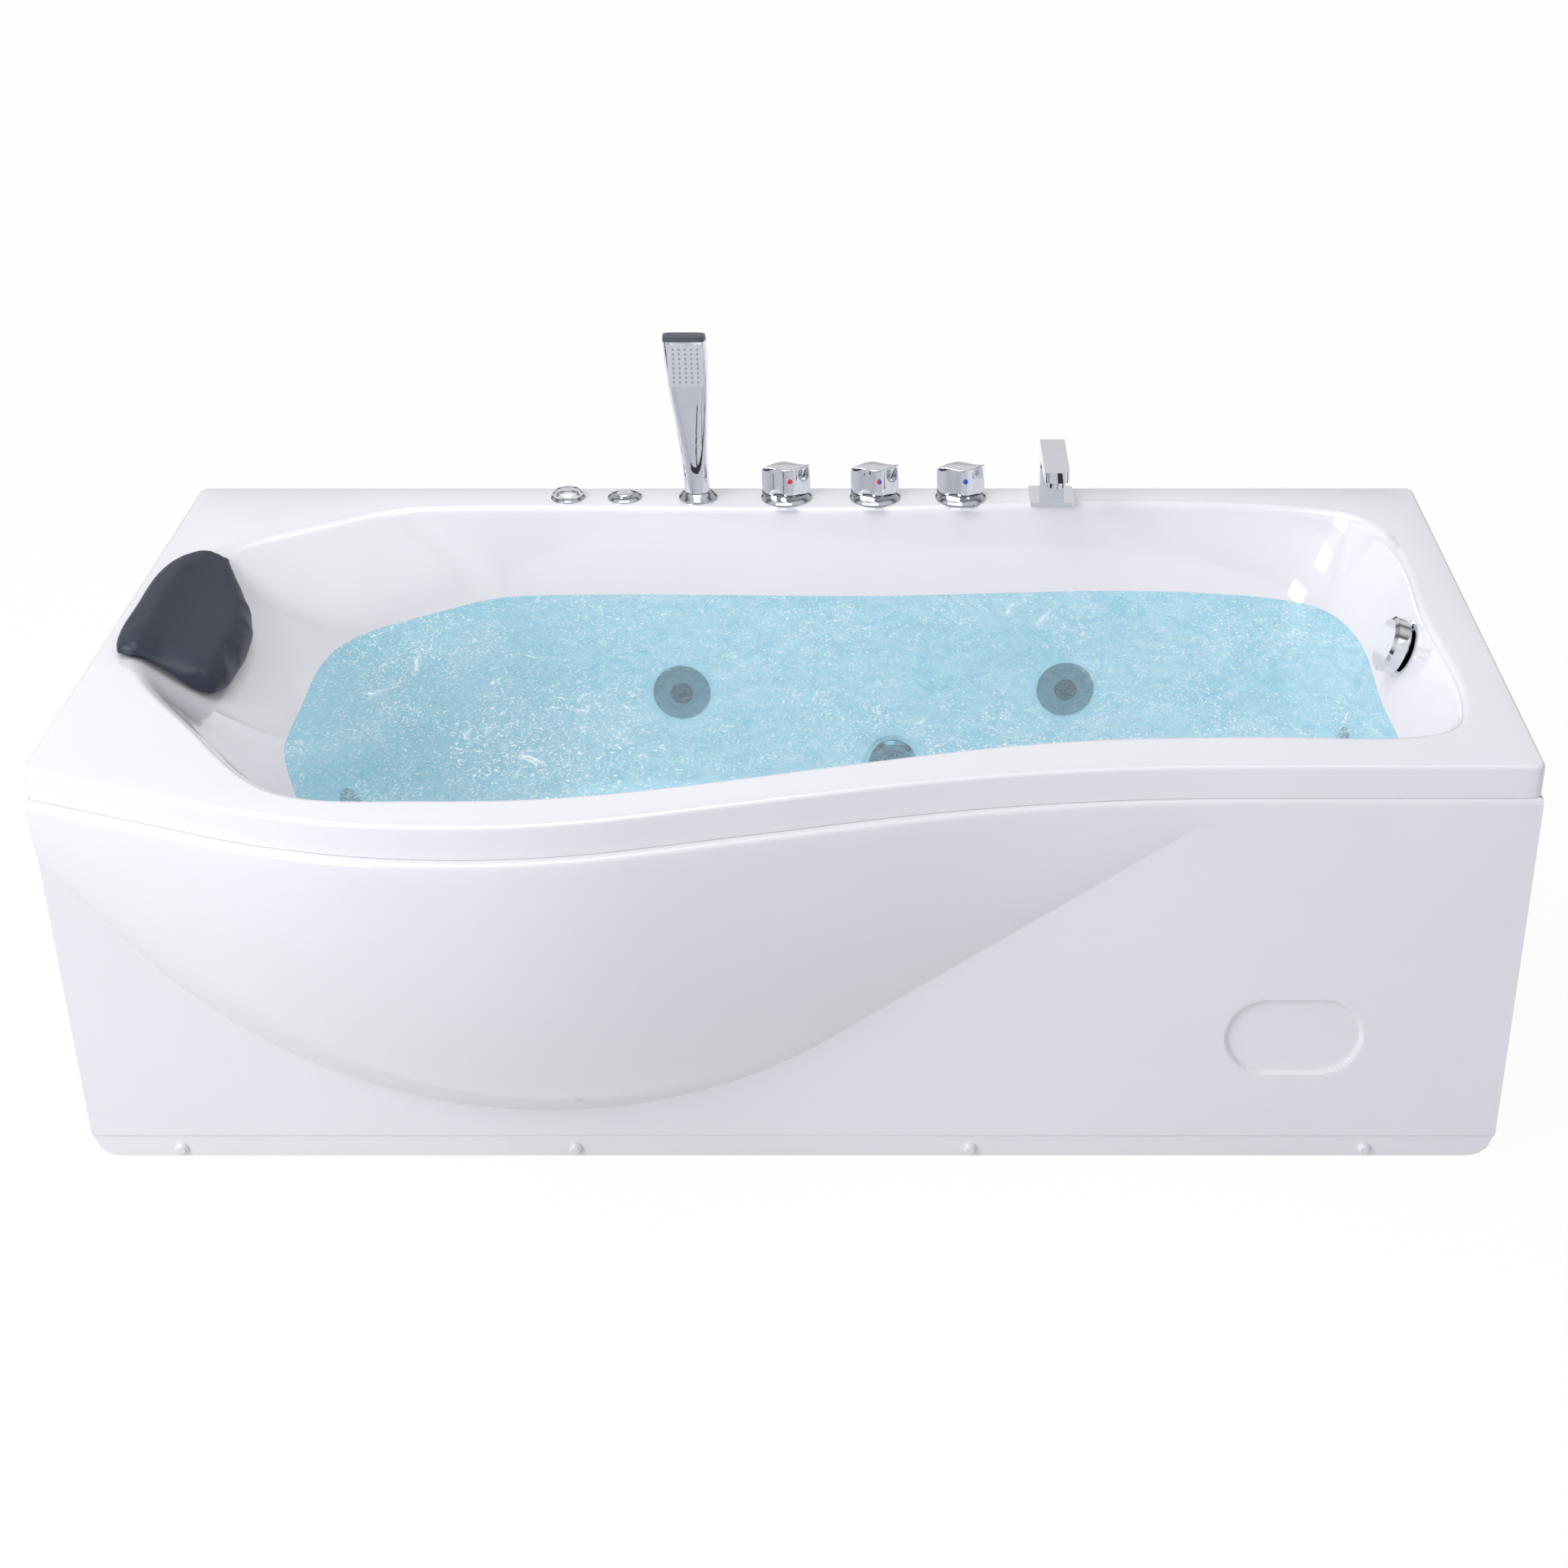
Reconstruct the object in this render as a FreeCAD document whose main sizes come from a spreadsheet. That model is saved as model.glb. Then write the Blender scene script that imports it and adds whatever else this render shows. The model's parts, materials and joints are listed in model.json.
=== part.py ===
import FreeCAD, Part
import math
import os
import Sketcher
from FreeCAD import Placement, Rotation, Vector

# Jetted bathtub with a bowed front skirt: an acrylic shell on a steel frame, deck taps, jets and their pump.
# +X runs from the head end to the foot end, +Y to the back wall, +Z up.
# The origin lies on the floor, under the middle.

doc = FreeCAD.newDocument("jetted_bathtub")
sheet = doc.addObject("Spreadsheet::Sheet", "Sizes")

SIZES = [
    # the rim and the shell
    ("tub_length", 1700, "rim, head end to foot end"),
    ("tub_depth", 820, "rim, straight front edge to back edge"),
    ("rim_height", 540, "top of the rim above the floor"),
    ("lip_height", 40, "rim edge turned down all round"),
    ("shell_wall", 6, "acrylic with its glass fibre backing"),
    ("rim_bow", 136, "how far the rim bows out at the front"),
    ("bow_place", 500, "middle of the bow from the head end"),
    ("bow_slope_head", 0.38, "slope of the bow towards the head end"),
    ("bow_slope_foot", 0.25, "slope of the bow towards the foot end"),
    ("bow_radius", 800, "radius of the bow"),
    ("bow_run_out", 1755, "radius where the bow meets the straight front"),
    ("rim_corner", 12, "corners of the rim, seen from above"),
    ("rim_edge", 5, "rounding of the outer top edge"),
    # the basin
    ("deck_back", 75, "deck width at the back"),
    ("deck_foot", 65, "deck width at the foot end"),
    ("deck_head", 48, "deck width at the head end"),
    ("deck_front", 76, "deck width along the straight front"),
    ("deck_bow", 64, "deck width at the bow"),
    ("basin_depth", 405, "rim to basin floor"),
    ("head_recline", 340, "how far the back rest slopes in at the floor"),
    ("foot_slope", 130, "how far the foot end slopes in at the floor"),
    ("side_slope_back", 90, "how far the back wall slopes in at the floor"),
    ("side_slope_front", 125, "how far the front wall slopes in at the floor"),
    ("basin_roll", 10, "rounded edge between deck and basin"),
    ("basin_wall", 9, "basin wall, measured level"),
    # the front skirt
    ("skirt_gap", 0.5, "joint between the lip and the skirt"),
    ("skirt_sheet", 5, "sheet of the skirt"),
    ("skirt_proud", 4, "how far the skirt stands in front of the lip"),
    ("hull_proud", 12, "how far the bowed skirt stands in front of the lip"),
    ("keel_level", 72, "lowest point of the crease under the bowed skirt, above the floor"),
    ("keel_place", 560, "that point from the head end"),
    ("keel_radius", 590, "radius of the crease there"),
    ("keel_slope_head", 1.29, "slope of the crease towards the head end"),
    ("keel_slope_foot", 0.69, "slope of the crease towards the foot end"),
    ("crease_top", 30, "crease below the top of the skirt, at its ends"),
    ("skirt_edge", 6, "rounding of the top edge of the skirt"),
    ("bow_run", 600, "where the bowed skirt has run out into the straight one, from the middle of the tub"),
    ("skirt_clearance", 2, "skirt above the floor"),
    ("foot_band", 34, "height of the set-back band at the floor"),
    ("band_step", 2, "set-back of that band"),
    ("skirt_return", 60, "short sides of the skirt"),
    ("skirt_corner", 32, "lower corners of the skirt"),
    ("port_length", 164, "pressed oval of the service port"),
    ("port_height", 108, "pressed oval of the service port"),
    ("port_depth", 6, "pressed oval of the service port"),
    ("port_from_foot", 255, "middle of the oval from the foot end"),
    ("port_level", 177, "middle of the oval above the floor"),
    ("screw_level", 13, "skirt screws above the floor"),
    ("screw_end", 106, "first skirt screw from the head end"),
    ("screw_pitch", 479, "skirt screw to skirt screw"),
    ("screw_radius", 2.2, "skirt screw"),
    ("cap_radius", 8, "cap over a skirt screw"),
    ("cap_height", 6, "cap over a skirt screw"),
    # deck fittings, placed from the head end
    ("fitting_inset", 37, "deck fittings from the back edge"),
    ("air_place", 519, "air regulator"),
    ("button_place", 598, "pump button"),
    ("shower_place", 700, "hand shower"),
    ("hot_place", 823, "hot knob"),
    ("divert_place", 946, "diverter knob"),
    ("cold_place", 1065, "cold knob"),
    ("spout_place", 1191, "spout"),
    ("neck_radius", 14, "threaded necks through the deck"),
    ("neck_clearance", 1, "hole round a threaded neck"),
    ("nut_flat", 34, "deck nut across its flats"),
    ("nut_height", 10, "deck nut"),
    ("turn_gap", 0.5, "gap under a part that turns"),
    ("running_gap", 0.06, "radial clearance of a shaft in its bore"),
    # knobs and valves
    ("flange_radius", 35, "ring under a knob"),
    ("flange_height", 6, "ring under a knob"),
    ("knob_width", 66, "wave-shaped knob"),
    ("knob_swell", 17, "wave-shaped knob, half of its depth"),
    ("knob_height", 40, "wave-shaped knob"),
    ("knob_edge", 1.2, "rounding of the knob"),
    ("stem_radius", 5, "valve stem"),
    ("stem_depth", 50, "valve stem below the deck"),
    ("dot_radius", 3.4, "colour mark on a knob"),
    ("valve_radius", 19, "valve body"),
    ("valve_top", 45, "valve body below the deck"),
    ("valve_bottom", 85, "valve body below the deck"),
    ("tail_radius", 10.5, "half inch threaded tail"),
    ("tail_length", 25, "half inch threaded tail"),
    ("link_radius", 9, "pipe between the valves"),
    ("link_depth", 65, "pipe between the valves, below the deck"),
    ("spout_pipe_step", 36, "spout's pipe in front of the cold tail"),
    ("spout_pipe_run", 60, "half of the spout's pipe beside the cold tail"),
    # spout
    ("spout_plate", 62, "square plate under the spout"),
    ("spout_plate_height", 5, "square plate under the spout"),
    ("spout_width", 34, "spout column and arm"),
    ("spout_column", 30, "spout column, front to back"),
    ("spout_rise", 80, "top of the arm above the deck"),
    ("spout_reach", 110, "tip of the arm from the middle of the plate"),
    ("arm_height", 15, "arm of the spout"),
    ("aerator_radius", 13, "outlet of the spout"),
    ("aerator_drop", 9, "outlet below the arm"),
    # hand shower
    ("collar_radius", 26.5, "ring round the hand shower"),
    ("collar_height", 11, "ring round the hand shower"),
    ("guide_radius", 16, "guide sleeve under the ring"),
    ("guide_depth", 70, "guide sleeve below the deck"),
    ("socket_radius", 13, "bore that holds the hand shower"),
    ("shower_depth", 55, "hand shower below the deck"),
    ("shower_rise", 235, "hand shower above the deck"),
    ("shower_width", 58, "hand shower at its head"),
    ("shower_thick", 23, "hand shower at its head"),
    ("shower_lean", 11, "how far the head leans to the head end"),
    ("spray_width", 47, "spray plate"),
    ("spray_height", 58, "spray plate"),
    ("spray_sheet", 2.5, "spray plate"),
    # air regulator and pump button
    ("button_flange", 23.5, "ring of the air regulator and of the button"),
    ("button_flange_height", 4, "ring of the air regulator and of the button"),
    ("air_dome", 20.5, "turning cap of the air regulator"),
    ("air_dome_height", 9, "turning cap of the air regulator"),
    ("press_radius", 12, "pump button"),
    ("press_travel", 3, "how far the pump button goes down"),
    ("button_depth", 48, "necks of both below the deck"),
    # jets
    ("jet_radius", 40, "jet flange"),
    ("jet_flange_height", 4.5, "jet flange"),
    ("jet_neck", 24.5, "jet neck through the wall"),
    ("wall_clearance", 0.5, "hole round a neck in the wall"),
    ("jet_body", 33, "jet body behind the wall"),
    ("jet_body_length", 56, "jet body behind the wall"),
    ("ball_radius", 15.7, "swivelling nozzle"),
    ("ball_gap", 0.4, "clearance round the swivelling nozzle"),
    ("nozzle_bore", 6, "swivelling nozzle"),
    ("pin_radius", 3, "pins on which a nozzle swivels"),
    ("pin_end", 2, "how far these pins stand out of the ball"),
    ("seat_cut", 1.5, "flat seat pressed into the wall"),
    ("seat_wall", 9, "wall under a flat seat"),
    ("jet_depth", 268, "jets below the rim"),
    ("jet_head_place", 672, "head-side back jet from the head end"),
    ("jet_foot_place", 1216, "foot-side back jet from the head end"),
    ("lumbar_jet_depth", 238, "back rest jet below the rim"),
    ("lumbar_jet_inset", 520, "back rest jet from the back edge"),
    ("sole_jet_depth", 262, "foot end jet below the rim"),
    ("sole_jet_inset", 310, "foot end jet from the back edge"),
    # suction, overflow and drain
    ("suction_radius", 34, "suction cover"),
    ("suction_height", 7, "suction cover"),
    ("suction_hole", 1.9, "holes of the suction cover"),
    ("suction_depth", 370, "suction below the rim"),
    ("suction_place", 971, "suction from the head end"),
    ("overflow_radius", 36, "turning overflow disc"),
    ("overflow_thick", 22, "turning overflow disc"),
    ("overflow_gap", 5, "slot behind the overflow disc"),
    ("overflow_depth", 50, "overflow below the rim"),
    ("overflow_inset", 415, "overflow and drain from the back edge"),
    ("overflow_tube", 16, "overflow pipe"),
    ("drain_flange", 35, "drain ring"),
    ("drain_flange_height", 3, "drain ring"),
    ("drain_neck", 24.5, "drain neck through the floor"),
    ("drain_from_foot", 255, "drain from the foot end"),
    ("plug_radius", 31, "pop-up plug"),
    ("waste_radius", 20, "waste pipe"),
    ("waste_level", 48, "waste pipe above the floor"),
    ("waste_spigot", 60, "free end of the waste pipe, behind its collar"),
    # frame
    ("board_thickness", 12, "board under the basin floor"),
    ("board_length", 940, "board under the basin floor"),
    ("board_width", 420, "board under the basin floor"),
    ("tube", 30, "square tube of the frame"),
    ("tube_wall", 2, "square tube of the frame"),
    ("frame_half", 760, "middle to an end tube of the frame"),
    ("rail_front", 245, "front long tube from the straight front"),
    ("rail_back", 205, "back long tube from the back edge"),
    ("cross_place", 300, "middle to an inner cross tube"),
    ("post_inset", 9, "posts inside the lip"),
    ("foot_place", 660, "middle to a levelling foot"),
    ("pad_radius", 25, "levelling foot"),
    ("pad_height", 12, "levelling foot"),
    ("stud_radius", 6, "stud of a levelling foot"),
    ("stud_length", 92, "stud of a levelling foot"),
    ("stud_gap", 0.08, "radial clearance of a stud in its nut"),
    ("weld_nut", 19, "nut under a long tube, across its flats"),
    ("weld_nut_height", 10, "nut under a long tube"),
    # pump
    ("pump_place", 195, "pump axis from the head end"),
    ("pump_plate_sheet", 4, "plate under the pump"),
    ("pump_rubber", 8, "foot of the pump above its plate"),
    ("motor_radius", 60, "pump motor"),
    ("motor_length", 185, "pump motor"),
    ("volute_radius", 68, "pump housing"),
    ("volute_length", 62, "pump housing"),
    ("pump_port", 22, "suction port and pipe"),
    ("joint_gap", 0.1, "clearance of a pipe in its socket"),
    ("pressure_pipe", 16, "pressure pipe"),
    ("air_tube", 8, "air pipe"),
    ("air_tube_depth", 215, "air pipe below the rim"),
    # head rest
    ("pillow_width", 324, "head rest, across the tub"),
    ("pillow_inset", 390, "middle of the head rest from the back edge"),
    ("pillow_flap", 25, "flap of the head rest outside the basin edge"),
    ("pillow_thick", 30, "head rest"),
    ("pillow_drop", 62, "lower edge of the head rest below the rim"),
    ("pillow_gap", 1, "head rest above the shell"),
]
for row, (alias, number, note) in enumerate(SIZES, 1):
    sheet.set(f"A{row}", alias)
    sheet.set(f"B{row}", str(number))
    sheet.set(f"C{row}", note)
    sheet.setAlias(f"B{row}", alias)
doc.recompute()


class Term:
    """A length known both as a number and as the formula on the sheet that gives it."""

    def __init__(self, text, number):
        self.text = text
        self.number = number

    def __float__(self):
        return self.number

    def __add__(self, other):
        return Term(f"({self.text} + {words(other)})", self.number + float(other))

    def __radd__(self, other):
        return term(other) + self

    def __sub__(self, other):
        return Term(f"({self.text} - {words(other)})", self.number - float(other))

    def __rsub__(self, other):
        return term(other) - self

    def __mul__(self, other):
        return Term(f"({self.text} * {words(other)})", self.number * float(other))

    __rmul__ = __mul__

    def __truediv__(self, other):
        return Term(f"({self.text} / {words(other)})", self.number / float(other))

    def __neg__(self):
        return Term(f"(-1 * {self.text})", -self.number)


def words(value):
    return value.text if isinstance(value, Term) else f"{float(value):.6f}"


def term(value):
    return value if isinstance(value, Term) else Term(words(value), float(value))


class Sheet:
    """Each alias of the sheet as a Term: S.tub_length."""

    def __getattr__(self, alias):
        return Term(f"Sizes.{alias}", float(getattr(sheet, alias)))


S = Sheet()
MADE = []  # the sub-parts, in the order of making

# levels and places that many pieces share
HEAD = -S.tub_length / 2
FOOT = S.tub_length / 2
BACK = (S.tub_depth + S.rim_bow + S.hull_proud) / 2
FRONT = BACK - S.tub_depth
DECK_Y = BACK - S.fitting_inset
RIM = S.rim_height
UNDER_DECK = RIM - S.shell_wall
FLOOR = RIM - S.basin_depth
FLOOR_UNDER = FLOOR - S.shell_wall
TUBE_TOP = FLOOR_UNDER - S.board_thickness
TUBE_LOW = TUBE_TOP - S.tube
SKIRT_TOP = RIM - S.lip_height - S.skirt_gap
LIP_OUT = FRONT - S.skirt_proud
PUMP_X = HEAD + S.pump_place
PUMP_Z = TUBE_TOP + S.pump_plate_sheet + S.pump_rubber + S.motor_radius


# ---------------------------------------------------------------- making tools
def place(thing, at, turn=None):
    """Binds the place of a sub-part to the sheet."""
    if turn is not None:
        thing.Placement = Placement(Vector(0, 0, 0), turn)
    for axis, value in zip("xyz", at):
        thing.setExpression(f"Placement.Base.{axis}", term(value).text)


def body(label):
    made = doc.addObject("PartDesign::Body", label)
    made.Label = label
    return made


def plane(owner, role):
    return next(f for f in owner.Origin.OriginFeatures if f.Role == role)


def outline(owner, role, corners, name="Outline"):
    """A closed sketch of straight sides, each corner held to the sheet."""
    drawn = owner.newObject("Sketcher::SketchObject", name)
    drawn.AttachmentSupport = [(plane(owner, role), "")]
    drawn.MapMode = "FlatFace"
    spots = [Vector(float(x), float(y), 0) for x, y in corners]
    count = len(spots)
    for i, spot in enumerate(spots):
        drawn.addGeometry(Part.LineSegment(spot, spots[(i + 1) % count]), False)
    for i in range(count):
        drawn.addConstraint(Sketcher.Constraint("Coincident", i, 2, (i + 1) % count, 1))
    for i, corner in enumerate(corners):
        for kind, value, axis in (("DistanceX", corner[0], -2), ("DistanceY", corner[1], -1)):
            if float(value) == 0:
                drawn.addConstraint(Sketcher.Constraint("PointOnObject", i, 1, axis))
                continue
            number = drawn.addConstraint(Sketcher.Constraint(kind, -1, 1, i, 1, float(value)))
            if isinstance(value, Term):
                drawn.setExpression(f"Constraints[{number}]", value.text)
    return drawn


def turned(label, corners, at, turn=None, keep=True):
    """A piece turned about its own Z axis; corners are (radius, level)."""
    made = body(label)
    profile = outline(made, "XZ_Plane", corners)
    spin = made.newObject("PartDesign::Revolution", "Turned")
    spin.Profile = profile
    spin.ReferenceAxis = (profile, ["V_Axis"])
    spin.Angle = 360
    profile.Visibility = False
    place(made, at, turn)
    if keep:
        MADE.append(made)
    return made


def padded(label, role, corners, length, at, middle=False, keep=True):
    """A piece pushed out of a flat outline."""
    made = body(label)
    profile = outline(made, role, corners)
    pad = made.newObject("PartDesign::Pad", "Pushed")
    pad.Profile = profile
    pad.setExpression("Length", term(length).text)
    pad.Midplane = middle
    place(made, at)
    if keep:
        MADE.append(made)
    return made


def shaped(label, shape):
    """A sub-part whose form is worked out from the sheet below."""
    made = doc.addObject("Part::Feature", label)
    made.Label = label
    made.Shape = shape
    MADE.append(made)
    return made


def grouped(label, pieces):
    return shaped(label, Part.makeCompound(pieces))


def placed(form, places):
    """The same form again at each place."""
    found = []
    for spot in places:
        piece = form.copy()
        piece.Placement = spot
        found.append(piece)
    return found


def copies(original, places):
    doc.recompute()
    return placed(original.Shape, places)


def at(x, y, z, turn=None):
    return Placement(Vector(float(x), float(y), float(z)), turn or Rotation())


def cylinder(radius, low, high, spot=None):
    made = Part.makeCylinder(float(radius), float(high) - float(low), Vector(0, 0, float(low)))
    if spot is not None:
        made.Placement = spot.multiply(made.Placement)
    return made


def block(x0, x1, y0, y1, z0, z1):
    x0, x1, y0, y1, z0, z1 = (float(v) for v in (x0, x1, y0, y1, z0, z1))
    return Part.makeBox(x1 - x0, y1 - y0, z1 - z0, Vector(x0, y0, z0))


def rounded(corners, level):
    """A level closed wire: corners are (x, y, radius), joined by lines, with an arc at each corner."""
    spots = [Vector(float(x), float(y), float(level)) for x, y, _ in corners]
    count = len(spots)
    starts, arcs = [], []
    for i, (spot, corner) in enumerate(zip(spots, corners)):
        before = (spots[i - 1] - spot).normalize()
        after = (spots[(i + 1) % count] - spot).normalize()
        half = before.getAngle(after) / 2
        cut = float(corner[2]) / math.tan(half)
        reach = float(corner[2]) / math.sin(half) - float(corner[2])
        middle = spot + (before + after).normalize() * reach
        arcs.append((spot + before * cut, middle, spot + after * cut))
    edges = []
    for i, (start, middle, end) in enumerate(arcs):
        edges.append(Part.Arc(start, middle, end).toShape())
        edges.append(Part.LineSegment(end, arcs[(i + 1) % count][0]).toShape())
    return Part.Wire(edges)


def smooth(wire):
    """A rounded wire again as one smooth curve: three points of each arc, the middle of each line."""
    spots = []
    for i, edge in enumerate(wire.Edges):
        shares = (0, 0.5, 1) if i % 2 == 0 else (0.5,)
        low, high = edge.ParameterRange
        points = [edge.valueAt(low + share * (high - low)) for share in shares]
        if i % 2 == 0 and spots and (points[-1] - spots[-1]).Length < (points[0] - spots[-1]).Length:
            points.reverse()
        spots.extend(points)
    curve = Part.BSplineCurve()
    curve.interpolate(spots, PeriodicFlag=True)
    return Part.Wire([curve.toShape()])


def pipe(spots, radius, bend):
    """A round pipe along straight runs joined by tangent bends."""
    spots = [Vector(*(float(v) for v in spot)) for spot in spots]
    edges = []
    start = spots[0]
    for before, spot, after in zip(spots, spots[1:], spots[2:]):
        back = (before - spot).normalize()
        on = (after - spot).normalize()
        half = back.getAngle(on) / 2
        cut = bend / math.tan(half)
        middle = spot + (back + on).normalize() * (bend / math.sin(half) - bend)
        edges.append(Part.LineSegment(start, spot + back * cut).toShape())
        edges.append(Part.Arc(spot + back * cut, middle, spot + on * cut).toShape())
        start = spot + on * cut
    edges.append(Part.LineSegment(start, spots[-1]).toShape())
    path = Part.Wire(edges)
    section = Part.Wire([Part.makeCircle(float(radius), spots[0], spots[1] - spots[0])])
    return path.makePipeShell([section], True, False)


# ---------------------------------------------------------------- the shell
def valley(x, place, low, radius, slope_left, slope_right):
    """Height of a line that falls, turns through an arc at place and rises again."""
    lean_left, lean_right = math.atan(slope_left), math.atan(slope_right)
    left = place - radius * math.sin(lean_left)
    right = place + radius * math.sin(lean_right)
    if x < left:
        return low + radius * (1 - math.cos(lean_left)) + slope_left * (left - x)
    if x > right:
        return low + radius * (1 - math.cos(lean_right)) + slope_right * (x - right)
    return low + radius - math.sqrt(radius ** 2 - (x - place) ** 2)


class Bow:
    """The front line seen from above: a flank, the bow, a flank, and a run-out to the straight front."""

    def __init__(self, front, depth):
        self.front = float(front)
        self.place = float(HEAD + S.bow_place)
        self.low = self.front - float(depth)
        self.radius = float(S.bow_radius)
        self.slopes = float(S.bow_slope_head), float(S.bow_slope_foot)
        self.run_out = float(S.bow_run_out)
        secants = [1 / math.cos(math.atan(slope)) for slope in self.slopes]
        centre = self.low + self.radius
        self.corner_x = self.place + self.radius * (secants[1] - secants[0]) / sum(self.slopes)
        self.corner_y = centre - self.radius * secants[1] + self.slopes[1] * (self.corner_x - self.place)
        self.run_x = self.place + (self.front - centre + self.radius * secants[1]) / self.slopes[1]

    def y(self, x):
        bend = self.run_out * math.tan(math.atan(self.slopes[1]) / 2)
        end = self.run_x + bend
        start = self.run_x - bend * math.cos(math.atan(self.slopes[1]))
        if x >= end:
            return self.front
        if x > start:
            return self.front - self.run_out + math.sqrt(self.run_out ** 2 - (end - x) ** 2)
        return min(self.front, valley(x, self.place, self.low, self.radius, *self.slopes))

    def corners(self):
        return [(self.corner_x, self.corner_y, self.radius), (self.run_x, self.front, self.run_out)]


RIM_BOW = Bow(FRONT, S.rim_bow)
SKIRT_BOW = Bow(LIP_OUT, S.rim_bow + S.hull_proud - S.skirt_proud)


def rim_line(level):
    """The rim's outer edge seen from above."""
    corner = S.rim_corner
    return rounded(
        [
            (HEAD, BACK, corner),
            (HEAD, RIM_BOW.y(float(HEAD)), corner),
            *RIM_BOW.corners(),
            (FOOT, FRONT, corner),
            (FOOT, BACK, corner),
        ],
        level,
    )


def basin_line(level, shares, grow=0):
    """The basin at one level; shares are of the slopes at the head, foot, back and front."""
    head, foot, back, front = (float(share) for share in shares)
    left = float(HEAD + S.deck_head) + float(S.head_recline) * head - grow
    right = float(FOOT - S.deck_foot) - float(S.foot_slope) * foot + grow
    far = float(BACK - S.deck_back) - float(S.side_slope_back) * back + grow
    inwards = float(S.side_slope_front) * front - grow
    near = float(FRONT + S.deck_front) + inwards
    bow = float(FRONT - S.rim_bow + S.deck_bow) + inwards
    bow_x = float(HEAD + S.bow_place)
    depth = far - bow
    soft = 1 + front
    return rounded(
        [
            (right, far, 105 * soft),
            (left + 0.15 * (right - left), far, 150),
            (left, far - 0.19 * depth, 170),
            (left, far - 0.60 * depth, 210),
            (bow_x - 210 + 0.22 * (left - float(HEAD + S.deck_head)), bow, 150),
            (bow_x + 107, bow, 900 * (1 - 0.5 * front)),
            (bow_x + 107 + (near - bow) / 0.263, near, 1200),
            (right, near, 75 * soft),
        ],
        level,
    )


# share of the depth, then shares of the slopes at the head, foot, back and front
BASIN_LEVELS = [
    (-0.04, -0.06, -0.04, -0.04, -0.04),
    (0.00, 0.00, 0.00, 0.00, 0.00),
    (0.30, 0.50, 0.31, 0.28, 0.28),
    (0.64, 0.74, 0.48, 0.40, 0.48),
    (0.89, 0.86, 0.66, 0.58, 0.66),
    (0.975, 0.93, 0.85, 0.80, 0.85),
    (1.00, 1.00, 1.00, 1.00, 1.00),
]


# the same shares where the rounded edge ends in the wall
ROLL_SLOPES = (0.040, 0.0255, 0.0247, 0.0247)
SEAM_TURN = 30  # degrees that a seat's round cuts turn, so their seams miss the wall's


def basin_form(grow=0, deeper=0, skip=0):
    """The basin as a solid: its levels joined by one smooth wall."""
    wires = []
    for share, *slopes in BASIN_LEVELS[skip:]:
        down = deeper if share > 0.8 else 0
        level = float(RIM) - float(S.basin_depth) * share - down
        wires.append(smooth(basin_line(level, slopes, grow)))
    return Part.makeLoft(wires, True, False)


BASIN_SPACE = basin_form()
BASIN_SIDE = max(BASIN_SPACE.Faces, key=lambda face: face.Area)


def wall_seat(start, towards, turn_up):
    """Where a line from inside the basin meets its wall: a place whose Z axis points back into the basin."""
    reach = float(S.tub_length)
    ray = Part.LineSegment(start, start + towards * reach).toShape()
    inside = ray.common(BASIN_SPACE)
    hit = max((v.Point for v in inside.Vertexes), key=lambda p: (p - start).Length)
    u, v = BASIN_SIDE.Surface.parameter(hit)
    normal = BASIN_SIDE.Surface.normal(u, v)
    if normal.dot(towards) > 0:
        normal = normal * -1
    across = turn_up.cross(normal).normalize()
    turn = Rotation(across, normal.cross(across), normal, "ZXY")
    return Placement(hit - normal * float(S.seat_cut), turn)


UP = Vector(0, 0, 1)
BASIN_MIDDLE_Y = float(BACK - S.overflow_inset)


def back_seat(from_head, depth):
    start = Vector(float(HEAD + from_head), BASIN_MIDDLE_Y, float(RIM - depth))
    return wall_seat(start, Vector(0, 1, 0), UP)


def end_seat(from_back, depth, side):
    start = Vector(0, float(BACK - from_back), float(RIM - depth))
    return wall_seat(start, Vector(side, 0, 0), UP)


JET_SEATS = [
    back_seat(S.jet_head_place, S.jet_depth),
    back_seat(S.jet_foot_place, S.jet_depth),
    end_seat(S.lumbar_jet_inset, S.lumbar_jet_depth, -1),
    end_seat(S.sole_jet_inset, S.sole_jet_depth, 1),
]
SUCTION_SEAT = back_seat(S.suction_place, S.suction_depth)
OVERFLOW_SEAT = end_seat(S.overflow_inset, S.overflow_depth, 1)
WALL_SEATS = [*JET_SEATS, SUCTION_SEAT, OVERFLOW_SEAT]
DRAIN_SPOT = at(FOOT - S.drain_from_foot, BACK - S.overflow_inset, FLOOR)
DECK_PLACES = {
    "air": S.air_place,
    "button": S.button_place,
    "shower": S.shower_place,
    "hot": S.hot_place,
    "divert": S.divert_place,
    "cold": S.cold_place,
    "spout": S.spout_place,
}


def deck_spot(name, level=RIM):
    return at(HEAD + DECK_PLACES[name], DECK_Y, level)


def roll_form():
    """What the rounded edge of the basin takes off: rings that leave the deck and run down into the wall."""
    roll = float(S.basin_roll)
    wires = [smooth(basin_line(float(RIM) + roll / 2, (0, 0, 0, 0), roll))]
    for share in (0, 0.25, 0.5, 0.75, 1):
        slopes = [slope * share ** 2 for slope in ROLL_SLOPES]
        wires.append(smooth(basin_line(float(RIM) - roll * share ** 2, slopes, roll * (1 - share) ** 2)))
    return Part.makeLoft(wires, True, True)


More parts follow.
